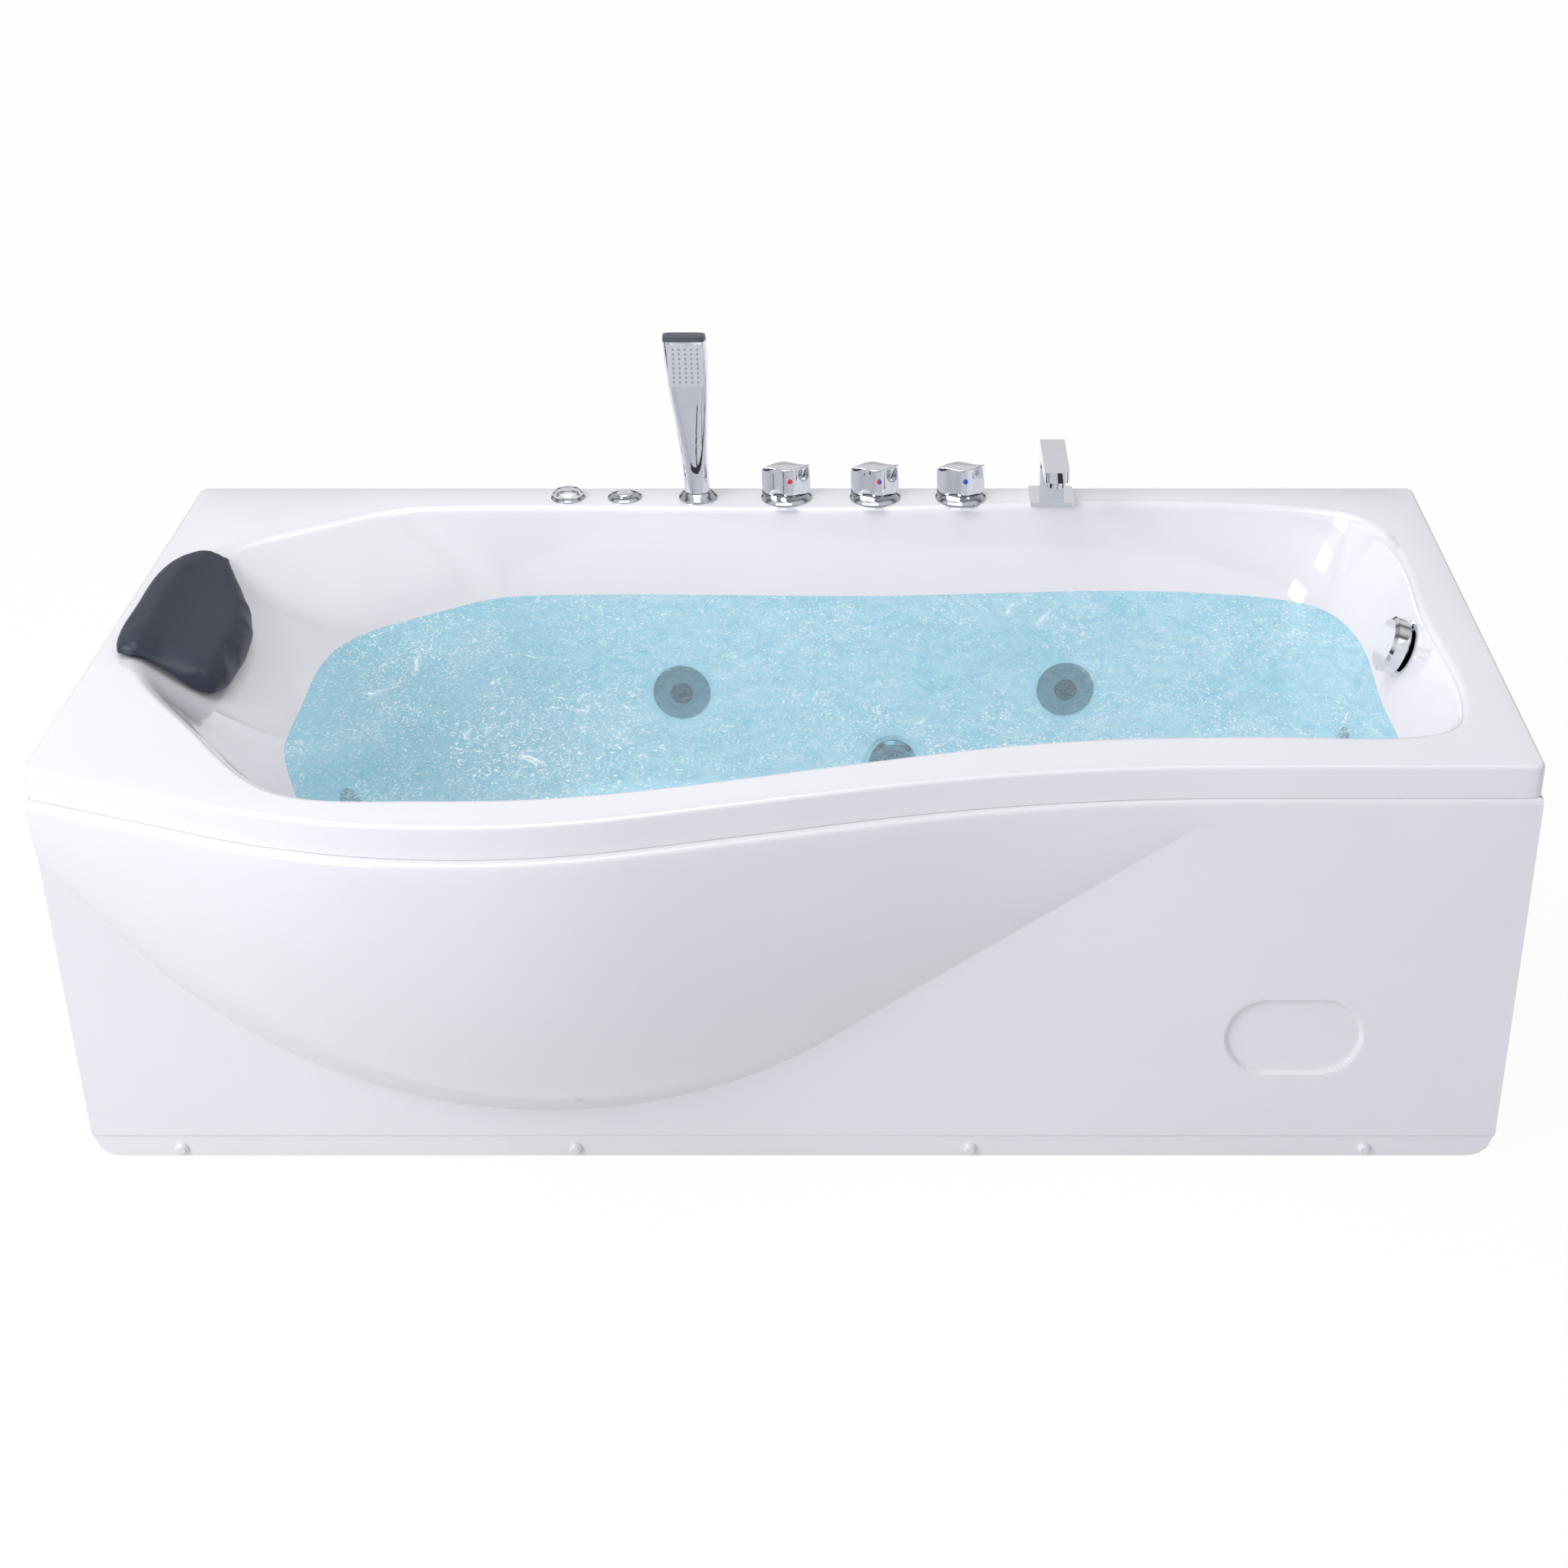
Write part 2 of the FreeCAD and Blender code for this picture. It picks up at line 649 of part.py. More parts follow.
def seat_cutter(seat):
    """What a fitting in the wall takes off: its recess, its hole and the flat behind it."""
    spot = seat.multiply(Placement(Vector(0, 0, 0), Rotation(UP, SEAM_TURN)))
    recess = cylinder(S.jet_radius + 1, 0, 14, spot)
    hole = cylinder(S.jet_neck + S.wall_clearance, -S.seat_wall - 1, 1, spot)
    behind = cylinder(S.jet_body + S.wall_clearance, -3 * S.seat_wall, -S.seat_wall, spot)
    return recess.fuse(hole).fuse(behind)


def make_shell():
    rim = Part.Face(rim_line(RIM - S.lip_height)).extrude(Vector(0, 0, float(S.lip_height)))
    top_edges = [e for e in rim.Edges if all(abs(v.Point.z - float(RIM)) < 1e-6 for v in e.Vertexes)]
    rim = rim.makeFillet(float(S.rim_edge), top_edges)
    inner = Part.Face(rim_line(RIM - S.lip_height).makeOffset2D(-float(S.shell_wall)))
    rim = rim.cut(inner.extrude(Vector(0, 0, float(S.lip_height - S.shell_wall))))
    shell = rim.fuse(basin_form(float(S.basin_wall), float(S.shell_wall), 1))
    for seat in WALL_SEATS:
        shell = shell.fuse(cylinder(S.jet_radius + 6, -S.seat_wall, 4, seat))
    shell = shell.cut(BASIN_SPACE)
    for seat in WALL_SEATS:
        shell = shell.cut(seat_cutter(seat))
    shell = shell.cut(roll_form())
    shell = shell.cut(cylinder(S.drain_neck + S.wall_clearance, -30, 12, DRAIN_SPOT))
    for name in DECK_PLACES:
        hole = (S.guide_radius if name == "shower" else S.neck_radius) + S.neck_clearance
        shell = shell.cut(cylinder(hole, -S.valve_bottom, 12, deck_spot(name)))
    return shell


tub_shell = shaped("tub_shell", make_shell())


# ---------------------------------------------------------------- the front skirt
def crease(x):
    """Level of the crease where the bowed skirt dies into the flat one."""
    place = float(HEAD + S.keel_place)
    slopes = float(S.keel_slope_head), float(S.keel_slope_foot)
    low = valley(x, place, float(S.keel_level), float(S.keel_radius), *slopes)
    return min(low, float(SKIRT_TOP - S.skirt_edge - S.crease_top))


def hull(y_top, z_top, y_low, z_low):
    """The bowed skirt in section: upright below the lip, tucked under towards the crease."""
    fall, bulge = z_top - z_low, y_low - y_top
    poles = [
        Vector(0, y_top, z_top),
        Vector(0, y_top, z_top - 0.55 * fall),
        Vector(0, y_low - 0.32 * bulge, z_low + 0.12 * fall),
        Vector(0, y_low, z_low),
    ]
    curve = Part.BezierCurve()
    curve.setPoles(poles)
    return curve


def straight_edges(spots):
    """Straight edges across the skirt between places given as Y and Z."""
    places = [Vector(0, y, z) for y, z in spots]
    return [Part.LineSegment(a, b).toShape() for a, b in zip(places, places[1:])]


def skirt_section(x):
    """The skirt's sheet cut across at x, from the flange under the lip down to the floor."""
    sheet_t, edge, step = float(S.skirt_sheet), float(S.skirt_edge), float(S.band_step)
    top, band, low = float(SKIRT_TOP), float(S.foot_band), float(S.skirt_clearance)
    flat, fold, dip = float(LIP_OUT), SKIRT_BOW.y(x), crease(x)
    flange = RIM_BOW.y(x) + float(S.shell_wall) + 1
    upper, under = hull(fold, top - edge, flat, dip), hull(fold + sheet_t, top - edge, flat + sheet_t, dip)
    corner = edge * (1 - math.sqrt(0.5))
    line = [
        (flat, dip), (flat, band), (flat + step, band - step), (flat + step, low),
        (flat + step + sheet_t, low), (flat + step + sheet_t, band - step), (flat + sheet_t, band),
        (flat + sheet_t, dip),
    ]
    back = [
        (fold + sheet_t, top - edge), (fold + sheet_t, top - sheet_t), (flange, top - sheet_t), (flange, top),
        (fold + edge, top),
    ]
    edges = [upper.toShape(), *straight_edges(line)]
    under.reverse()
    edges += [under.toShape(), *straight_edges(back)]
    bend = Vector(0, fold + corner, top - corner)
    edges.append(Part.Arc(Vector(0, *back[-1]), bend, Vector(0, fold, top - edge)).toShape())
    wire = Part.Wire(edges)
    wire.translate(Vector(x, 0, 0))
    return wire


# places along the bowed stretch, as shares of it
SKIRT_STATIONS = (
    0, 0.04, 0.09, 0.15, 0.22, 0.29, 0.36, 0.43, 0.5, 0.57, 0.64, 0.71, 0.78, 0.84, 0.89, 0.94, 1,
)


def oval(grow, y_front, y_back):
    """The service port's oval as a slab across the skirt."""
    half, tall = float(S.port_length) / 2 + grow, float(S.port_height) / 2 + grow
    x, z = float(FOOT - S.port_from_foot), float(S.port_level)
    corners = [(-half, -tall), (half, -tall), (half, tall), (-half, tall)]
    wire = rounded([(*corner, tall - 1) for corner in corners], 0)
    slab = Part.Face(wire).extrude(Vector(0, 0, float(y_back) - float(y_front)))
    slab.Placement = at(x, y_back, z, Rotation(Vector(1, 0, 0), 90))
    return slab


def screw_spots(y, turn):
    """The skirt screws, in a row along the band at the floor."""
    return [at(HEAD + S.screw_end + S.screw_pitch * i, y, S.screw_level, turn) for i in range(4)]


FORWARD = Rotation(Vector(1, 0, 0), 90)  # a piece's Z axis to the front
BAND_FRONT = LIP_OUT + S.band_step


def make_skirt():
    bowed = float(S.bow_run) - float(HEAD)
    wires = [skirt_section(float(HEAD) + bowed * share) for share in SKIRT_STATIONS]
    skirt = Part.makeLoft(wires, True, False)
    skirt = skirt.fuse(Part.Face(wires[-1]).extrude(Vector(float(FOOT - S.bow_run), 0, 0)))
    back = FRONT + S.skirt_return
    for x in (HEAD, FOOT - S.skirt_sheet):
        skirt = skirt.fuse(block(x, x + S.skirt_sheet, LIP_OUT + 1, back, S.skirt_clearance, SKIRT_TOP))
    skirt = skirt.fuse(oval(float(S.skirt_sheet), LIP_OUT + 1, LIP_OUT + S.port_depth + S.skirt_sheet))
    skirt = skirt.cut(oval(0, LIP_OUT - 5, LIP_OUT + S.port_depth))
    for spot in screw_spots(BAND_FRONT - 5, FORWARD):
        skirt = skirt.cut(cylinder(S.screw_radius + 0.2, -20, 20, spot))
    radius, low = float(S.skirt_corner), float(S.skirt_clearance)
    for side in (-1, 1):
        x = side * float(FOOT)
        inner = x - side * radius
        corner = block(min(x, inner), max(x, inner), LIP_OUT - 1, back + 1, low, low + radius)
        middle = Vector(inner, float(LIP_OUT) - 2, low + radius)
        skirt = skirt.cut(corner.cut(Part.makeCylinder(radius, 200, middle, Vector(0, 1, 0))))
    return skirt


front_apron = shaped("front_apron", make_skirt())
rail_y = BAND_FRONT + S.skirt_sheet
screw_spot = screw_spots(BAND_FRONT, FORWARD)
screw = turned(
    "screw",
    [(0, -18), (S.screw_radius, -18), (S.screw_radius, 0), (4, 0), (4, 2), (0, 2)],
    (0, 0, 0), keep=False,
)
cap = turned(
    "cap",
    [(4.2, 0), (S.cap_radius, 0), (S.cap_radius, S.cap_height * 0.4), (S.cap_radius * 0.6, S.cap_height),
     (0, S.cap_height), (0, 2.6), (4.2, 2.6)],
    (0, 0, 0), keep=False,
)
apron_screws = grouped("apron_screws", copies(screw, screw_spot))
apron_screw_caps = grouped("apron_screw_caps", copies(cap, screw_spot))

# ---------------------------------------------------------------- the frame
RAIL_YS = (FRONT + S.rail_front, BACK - S.rail_back)
POST_YS = (FRONT + S.post_inset, BACK - S.post_inset - S.tube)


def tube_along(axis, start, end, u, v):
    """A square tube between two places along an axis; u and v are its low sides across."""
    side, wall = float(S.tube), float(S.tube_wall)
    start, end, u, v = float(start), float(end), float(u), float(v)
    boxes = {
        "x": lambda g: block(start, end, u + g, u + side - g, v + g, v + side - g),
        "y": lambda g: block(u + g, u + side - g, start, end, v + g, v + side - g),
        "z": lambda g: block(u + g, u + side - g, v + g, v + side - g, start, end),
    }
    return boxes[axis](0).cut(boxes[axis](wall))


half_tube = S.tube / 2
end_xs = (-S.frame_half, S.frame_half)
base_board = padded(
    "base_board", "XY_Plane",
    [(-S.board_length / 2, -S.board_width / 2), (S.board_length / 2, -S.board_width / 2),
     (S.board_length / 2, S.board_width / 2), (-S.board_length / 2, S.board_width / 2)],
    S.board_thickness, (0, (RAIL_YS[0] + RAIL_YS[1]) / 2, TUBE_TOP),
)
long_rails = []
for rail in RAIL_YS:
    bar = tube_along("x", end_xs[0] + half_tube, end_xs[1] - half_tube, rail - half_tube, TUBE_LOW)
    for x in (-S.foot_place, S.foot_place):
        bar = bar.cut(cylinder(S.stud_radius + 1, float(TUBE_LOW) - 1, float(TUBE_TOP) - 5, at(x, rail, 0)))
    long_rails.append(bar)
frame_long_rails = grouped("frame_long_rails", long_rails)
end_y = (POST_YS[0], POST_YS[1] + S.tube)
cross = [tube_along("y", *end_y, x - half_tube, TUBE_LOW) for x in end_xs]
cross += [
    tube_along("y", RAIL_YS[0] + half_tube, RAIL_YS[1] - half_tube, x - half_tube, TUBE_LOW)
    for x in (-S.cross_place, S.cross_place)
]
frame_cross_rails = grouped("frame_cross_rails", cross)
posts = [tube_along("z", TUBE_TOP, UNDER_DECK, x - half_tube, y) for x in end_xs for y in POST_YS]
rail_low = S.screw_level - half_tube + 3
posts += [tube_along("z", rail_low + S.tube, TUBE_LOW, x - half_tube, POST_YS[0]) for x in end_xs]
frame_posts = grouped("frame_posts", posts)
skirt_rail = tube_along("x", -S.frame_half - 40, S.frame_half + 40, rail_y, rail_low)
for spot in screw_spot:
    skirt_rail = skirt_rail.cut(cylinder(S.screw_radius + 0.1, -20, 0, spot))
apron_rail = shaped("apron_rail", skirt_rail)

FOOT_SPOTS = {
    "foot_head_front": (-S.foot_place, RAIL_YS[0]),
    "foot_head_back": (-S.foot_place, RAIL_YS[1]),
    "foot_end_front": (S.foot_place, RAIL_YS[0]),
    "foot_end_back": (S.foot_place, RAIL_YS[1]),
}
for name, (x, y) in FOOT_SPOTS.items():
    turned(
        name,
        [(0, 0), (S.pad_radius, 0), (S.pad_radius, 4), (S.pad_radius * 0.55, S.pad_height),
         (S.stud_radius, S.pad_height), (S.stud_radius, S.pad_height + S.stud_length),
         (0, S.pad_height + S.stud_length)],
        (x, y, 0),
    )


def nut(flat, bore, height):
    """A hexagon nut standing on its lower face."""
    corner = float(flat) / math.sqrt(3)
    turns = [math.radians(60 * i) for i in range(7)]
    ring = Part.makePolygon([Vector(corner * math.cos(t), corner * math.sin(t), 0) for t in turns])
    prism = Part.Face(ring).extrude(Vector(0, 0, float(height)))
    return prism.cut(cylinder(bore, -1, float(height) + 1))


def nuts_at(flat, bore, height, spots):
    found = []
    for spot in spots:
        piece = nut(flat, bore, height)
        piece.Placement = spot
        found.append(piece)
    return found


weld_spots = [at(x, y, TUBE_LOW - S.weld_nut_height) for x, y in FOOT_SPOTS.values()]
stud_bore = S.stud_radius + S.stud_gap
foot_nuts = grouped("foot_nuts", nuts_at(S.weld_nut, stud_bore, S.weld_nut_height, weld_spots))

# ---------------------------------------------------------------- knobs and valves
THROUGH = float(S.stem_radius + S.running_gap)
knob_flange = turned(
    "flange",
    [(S.stem_radius + 3, 0), (S.flange_radius, 0), (S.flange_radius, S.flange_height * 0.3),
     (S.flange_radius * 0.86, S.flange_height * 0.8), (S.flange_radius * 0.6, S.flange_height),
     (S.stem_radius + 3, S.flange_height)],
    (0, 0, 0), keep=False,
)
valve = turned(
    "valve",
    [(S.stem_radius + S.running_gap, 0), (S.neck_radius, 0), (S.neck_radius, -S.valve_top),
     (S.valve_radius, -S.valve_top), (S.valve_radius, -S.valve_bottom), (S.tail_radius, -S.valve_bottom),
     (S.tail_radius, -S.valve_bottom - S.tail_length), (0, -S.valve_bottom - S.tail_length),
     (0, -S.stem_depth - S.turn_gap), (S.stem_radius + S.running_gap, -S.stem_depth - S.turn_gap)],
    (0, 0, 0), keep=False,
)
valve_names = ("hot", "divert", "cold")
knob_flanges = grouped("knob_flanges", copies(knob_flange, [deck_spot(n) for n in valve_names]))
valve_bodies = grouped("valve_bodies", copies(valve, [deck_spot(n) for n in valve_names]))


def wave_knob():
    """A thick wave seen from above, the same turned half round, on its stem."""
    half, swell = float(S.knob_width) / 2, float(S.knob_swell)
    wave = [
        (-half, -0.46 * swell), (-0.62 * half, 0.44 * swell), (-0.1 * half, swell),
        (0.5 * half, 0.5 * swell), (half, 0.46 * swell),
    ]
    low = float(S.flange_height + S.turn_gap)
    back = Part.BSplineCurve()
    back.interpolate([Vector(x, y, low) for x, y in wave])
    front = Part.BSplineCurve()
    front.interpolate([Vector(-x, -y, low) for x, y in wave])
    grip = Part.Face(Part.Wire([back.toShape(), front.toShape()])).extrude(Vector(0, 0, float(S.knob_height)))
    top = low + float(S.knob_height)
    rim = [e for e in grip.Edges if all(abs(v.Point.z - top) < 1e-6 for v in e.Vertexes)]
    grip = grip.makeFillet(float(S.knob_edge), rim)
    grip = grip.fuse(cylinder(S.stem_radius, -float(S.stem_depth), low + 5))
    return grip.cut(dot_form())


def dot_form():
    """The colour mark, set into the front of the wave."""
    radius = float(S.dot_radius)
    middle = Vector(2.7 * radius - 3, -float(S.knob_swell) + 5, float(S.flange_height) + 24)
    return Part.makeCylinder(radius, 6, middle, Vector(0, -1, 0))


for name in valve_names:
    spot = deck_spot(name)
    for label, form in ((f"knob_{name}", wave_knob()), (f"dot_{name}", dot_form())):
        form.Placement = spot.multiply(form.Placement)
        shaped(label, form)

link_level = RIM - S.link_depth
spot_x = {name: float(HEAD + DECK_PLACES[name]) for name in DECK_PLACES}
links = []
for left, right in (("hot", "divert"), ("divert", "cold")):
    gap = float(S.valve_radius)
    start = Vector(spot_x[left] + gap - 0.5, float(DECK_Y), float(link_level))
    length = spot_x[right] - spot_x[left] - 2 * gap + 1
    bar = Part.makeCylinder(float(S.link_radius), length, start, Vector(1, 0, 0))
    for name in (left, right):
        bar = bar.cut(cylinder(S.valve_radius, -200, 0, deck_spot(name)))
    links.append(bar)
tail_low = float(RIM - S.valve_bottom - S.tail_length)
spout_tail = float(RIM - S.valve_bottom)
spout_level, past = tail_low - 38, DECK_Y - S.spout_pipe_step  # past the cold tail, with room for its hose
links.append(pipe(
    [(spot_x["divert"], DECK_Y, tail_low), (spot_x["divert"], DECK_Y, spout_level),
     (spot_x["cold"] - S.spout_pipe_run, past, spout_level),
     (spot_x["cold"] + S.spout_pipe_run, past, spout_level),
     (spot_x["spout"], DECK_Y, spout_level), (spot_x["spout"], DECK_Y, spout_tail)],
    S.link_radius, 24,
))
mixer_pipes = grouped("mixer_pipes", links)

# ---------------------------------------------------------------- spout
half_plate = S.spout_plate / 2
spout_plate = padded(
    "spout_plate", "XY_Plane",
    [(-half_plate, -half_plate), (half_plate, -half_plate),
     (half_plate, half_plate), (-half_plate, half_plate)],
    S.spout_plate_height, (HEAD + S.spout_place, DECK_Y, RIM), keep=False,
)
arm = padded(
    "spout_arm", "YZ_Plane",
    [(S.spout_column / 2, S.spout_plate_height), (S.spout_column / 2, S.spout_rise),
     (-S.spout_reach, S.spout_rise), (-S.spout_reach, S.spout_rise - S.arm_height),
     (-S.spout_column / 2 - 8, S.spout_rise - S.arm_height - 2),
     (-S.spout_column / 2, S.spout_rise - S.arm_height - 12), (-S.spout_column / 2, S.spout_plate_height)],
    S.spout_width, (0, 0, 0), middle=True, keep=False,
)
doc.recompute()


def along(edge, axis):
    """True for a straight edge that runs along an axis."""
    if not isinstance(edge.Curve, Part.Line):
        return False
    return abs(abs(edge.tangentAt(edge.FirstParameter).dot(axis)) - 1) < 1e-6


plate = spout_plate.Shape.copy()
corners = [e for e in plate.Edges if along(e, UP)]
plate = plate.makeFillet(5, corners).cut(cylinder(S.neck_radius, 400, 700, deck_spot("spout", 0)))
spout_base = shaped("spout_base", plate)
form = arm.Shape.copy()
front = [e for e in form.Edges if along(e, UP) and e.CenterOfMass.y < -float(S.spout_reach) + 1]
form = form.makeFillet(9, front)
nose_y = -float(S.spout_reach) + float(S.aerator_radius) + 3
form = form.fuse(cylinder(S.neck_radius, -float(S.valve_bottom), float(S.spout_plate_height)))
aerator_top = S.spout_rise - S.arm_height
nose = at(0, nose_y, 0)
form = form.fuse(cylinder(S.aerator_radius, aerator_top - S.aerator_drop, S.spout_rise - 2, nose))
form = form.cut(cylinder(S.aerator_radius - 2, 0, aerator_top, nose))
form.Placement = deck_spot("spout")
spout_body = shaped("spout_body", form)
spout_aerator = turned(
    "spout_aerator",
    [(6, -S.aerator_drop + 1.5), (S.aerator_radius - 2, -S.aerator_drop + 1.5),
     (S.aerator_radius - 2, 0), (6, 0)],
    (HEAD + S.spout_place, DECK_Y + nose_y, RIM + aerator_top),
)

# ---------------------------------------------------------------- hand shower
shower_at = (HEAD + S.shower_place, DECK_Y, RIM)
shower_collar = turned(
    "shower_collar",
    [(S.socket_radius + 1, 0), (S.collar_radius, 0), (S.collar_radius, 3),
     (S.collar_radius * 0.8, S.collar_height * 0.8), (S.collar_radius * 0.68, S.collar_height),
     (S.socket_radius + 1, S.collar_height)],
    shower_at,
)
shower_guide = turned(
    "shower_guide",
    [(S.socket_radius + S.running_gap, -S.guide_depth), (S.guide_radius, -S.guide_depth), (S.guide_radius, 0),
     (S.socket_radius + S.running_gap, 0)],
    shower_at,
)
# level above the deck, half width, half thickness
SHOWER_RINGS = [
    (S.collar_height + S.turn_gap, 0.60, 1.44), (40, 0.62, 1.36), (80, 0.68, 1.2), (120, 0.79, 1.08),
    (160, 0.91, 1.0), (200, 0.98, 1.0), (S.shower_rise - 7, 1.0, 0.96),
]


def shower_ring(level, wide, thick):
    """One level section of the hand shower: round at its foot, flat and square at its head."""
    half, deep = float(S.shower_width) / 2 * wide, float(S.shower_thick) / 2 * thick
    lean = -float(S.shower_lean) * float(level) / float(S.shower_rise)
    power = 2 + 3 * max(0.0, (wide - 0.6) / 0.4)
    points = []
    for i in range(16):
        turn = 2 * math.pi * i / 16
        across, out = math.cos(turn), math.sin(turn)
        x = lean + half * math.copysign(abs(across) ** (2 / power), across)
        y = deep * math.copysign(abs(out) ** (2 / power), out)
        points.append(Vector(x, y, float(level)))
    curve = Part.BSplineCurve()
    curve.interpolate(points, PeriodicFlag=True)
    return Part.Wire([curve.toShape()])


handle = Part.makeLoft([shower_ring(*ring) for ring in SHOWER_RINGS], True, False)
top_ring = SHOWER_RINGS[-1]
lid = Part.makeLoft([shower_ring(*top_ring), shower_ring(S.shower_rise, 0.97, 0.9)], True, True)
handle = handle.fuse(cylinder(S.socket_radius, -float(S.shower_depth), S.collar_height + 6))
spray_low = float(S.shower_rise) - float(S.spray_height) - 11
spray_lean = -float(S.shower_lean) * (spray_low + float(S.spray_height) / 2) / float(S.shower_rise)
half_spray = float(S.spray_width) / 2
spray_y = -float(S.shower_thick) / 2
spray_plate_form = block(
    spray_lean - half_spray, spray_lean + half_spray, spray_y, spray_y + float(S.spray_sheet),
    spray_low, spray_low + float(S.spray_height),
)
spray_pocket = block(
    spray_lean - half_spray, spray_lean + half_spray, spray_y - 5, spray_y + float(S.spray_sheet),
    spray_low, spray_low + float(S.spray_height),
)
handle = handle.cut(spray_pocket)
shower_forms = {"hand_shower_body": handle, "hand_shower_cap": lid, "spray_plate": spray_plate_form}
for label, form in shower_forms.items():
    form.Placement = deck_spot("shower").multiply(form.Placement)
    shaped(label, form)

# ---------------------------------------------------------------- air regulator and pump button
air_at = (HEAD + S.air_place, DECK_Y, RIM)
button_at = (HEAD + S.button_place, DECK_Y, RIM)
air_stem = S.neck_radius * 0.5
air_regulator_base = turned(
    "air_regulator_base",
    [(air_stem + S.running_gap, S.button_flange_height), (S.button_flange * 0.9, S.button_flange_height),
     (S.button_flange, S.button_flange_height * 0.4), (S.button_flange, 0), (S.neck_radius, 0),
     (S.neck_radius, -S.button_depth), (0, -S.button_depth), (0, -20), (air_stem + S.running_gap, -20)],
    air_at,
)
air_low = S.button_flange_height + S.turn_gap
air_regulator_knob = turned(
    "air_regulator_knob",
    [(0, -20 + S.turn_gap), (air_stem, -20 + S.turn_gap), (air_stem, air_low), (S.air_dome, air_low),
     (S.air_dome, air_low + S.air_dome_height * 0.35),
     (S.air_dome * 0.82, air_low + S.air_dome_height * 0.72),
     (S.air_dome * 0.45, air_low + S.air_dome_height * 0.95), (0, air_low + S.air_dome_height)],
    air_at,
)
press_bore = S.press_radius + S.running_gap
pump_button_base = turned(
    "pump_button_base",
    [(press_bore, S.button_flange_height), (S.button_flange * 0.8, S.button_flange_height),
     (S.button_flange, S.button_flange_height * 0.4), (S.button_flange, 0), (S.neck_radius, 0),
     (S.neck_radius, -S.button_depth), (0, -S.button_depth), (0, -14), (press_bore, -14)],
    button_at,
)
press_top = S.button_flange_height + S.press_travel + 0.5
pump_button = turned(
    "pump_button",
    [(0, -8), (S.press_radius, -8), (S.press_radius, press_top - 1.5), (S.press_radius * 0.85, press_top),
     (0, press_top - 0.6)],
    button_at,
)
neck_nuts = [deck_spot(n, UNDER_DECK - S.nut_height) for n in DECK_PLACES if n != "shower"]
shower_nut = [deck_spot("shower", UNDER_DECK - S.nut_height)]
deck_nuts = grouped(
    "deck_nuts",
    nuts_at(S.nut_flat, S.neck_radius, S.nut_height, neck_nuts)
    + nuts_at(S.nut_flat + 4, S.guide_radius, S.nut_height, shower_nut),
)

# ---------------------------------------------------------------- jets and suction
BALL_CUTS = (-50, 52)  # where the ball ends below and above, in degrees from its middle
ball_room = S.ball_radius + S.ball_gap
jet_flange = turned(
    "jet_flange",
    [(ball_room, 0), (S.jet_radius, 0), (S.jet_radius, S.jet_flange_height * 0.25),
     (S.jet_radius * 0.9, S.jet_flange_height * 0.6), (S.ball_radius * 1.35, S.jet_flange_height),
     (ball_room, S.jet_flange_height)],
    (0, 0, 0), keep=False,
)
jet_end = -S.seat_wall - S.jet_body_length
jet_case = turned(
    "jet_case",
    [(ball_room, 0), (S.jet_neck, 0), (S.jet_neck, -S.seat_wall), (S.jet_body, -S.seat_wall),
     (S.jet_body, jet_end), (0, jet_end), (0, jet_end + 5), (ball_room, jet_end + 5)],
    (0, 0, 0), keep=False,
)
doc.recompute()


def pin(radius, end):
    """The pins on both sides of a nozzle, along the seat's X axis."""
    reach = float(S.ball_radius) + float(end)
    return Part.makeCylinder(float(radius), 2 * reach, Vector(-reach, 0, 0), Vector(1, 0, 0))


pin_room = pin(S.pin_radius + S.running_gap, S.pin_end + S.ball_gap)
jet_flanges = grouped("jet_flanges", placed(jet_flange.Shape.cut(pin_room), JET_SEATS))
jet_bodies = grouped("jet_bodies", placed(jet_case.Shape.cut(pin_room), JET_SEATS))
ball = Part.makeSphere(float(S.ball_radius), Vector(0, 0, 0), UP, *BALL_CUTS, 360)
nozzle = ball.fuse(pin(S.pin_radius, S.pin_end)).cut(cylinder(S.nozzle_bore, -S.ball_radius, S.ball_radius))
JET_NAMES = ("back_head", "back_foot", "back_rest", "foot_end")
for name, form in zip(JET_NAMES, placed(nozzle, JET_SEATS)):
    shaped(f"jet_nozzle_{name}", form)

suction_cover_form = turned(
    "suction_form",
    [(0, 0), (S.suction_radius, 0), (S.suction_radius, S.suction_height * 0.3),
     (S.suction_radius * 0.8, S.suction_height), (S.suction_radius * 0.58, S.suction_height),
     (S.suction_radius * 0.52, S.suction_height * 0.7), (0, S.suction_height * 0.7)],
    (0, 0, 0), keep=False,
)
suction_case = turned(
    "suction_case",
    [(S.jet_neck - 3, 0), (S.jet_neck, 0), (S.jet_neck, -S.seat_wall), (S.jet_body, -S.seat_wall),
     (S.jet_body, jet_end), (0, jet_end), (0, jet_end + 5), (S.jet_neck - 3, jet_end + 5)],
    (0, 0, 0), keep=False,
)
cover = copies(suction_cover_form, [Placement()])[0]
for ring, count in ((0, 1), (6, 6), (12, 12)):
    for i in range(count):
        turn = 2 * math.pi * i / count
        middle = at(ring * math.cos(turn), ring * math.sin(turn), 0)
        cover = cover.cut(cylinder(S.suction_hole, -5, 25, middle))
cover.Placement = SUCTION_SEAT
suction_cover = shaped("suction_cover", cover)
suction_body = grouped("suction_body", copies(suction_case, [SUCTION_SEAT]))

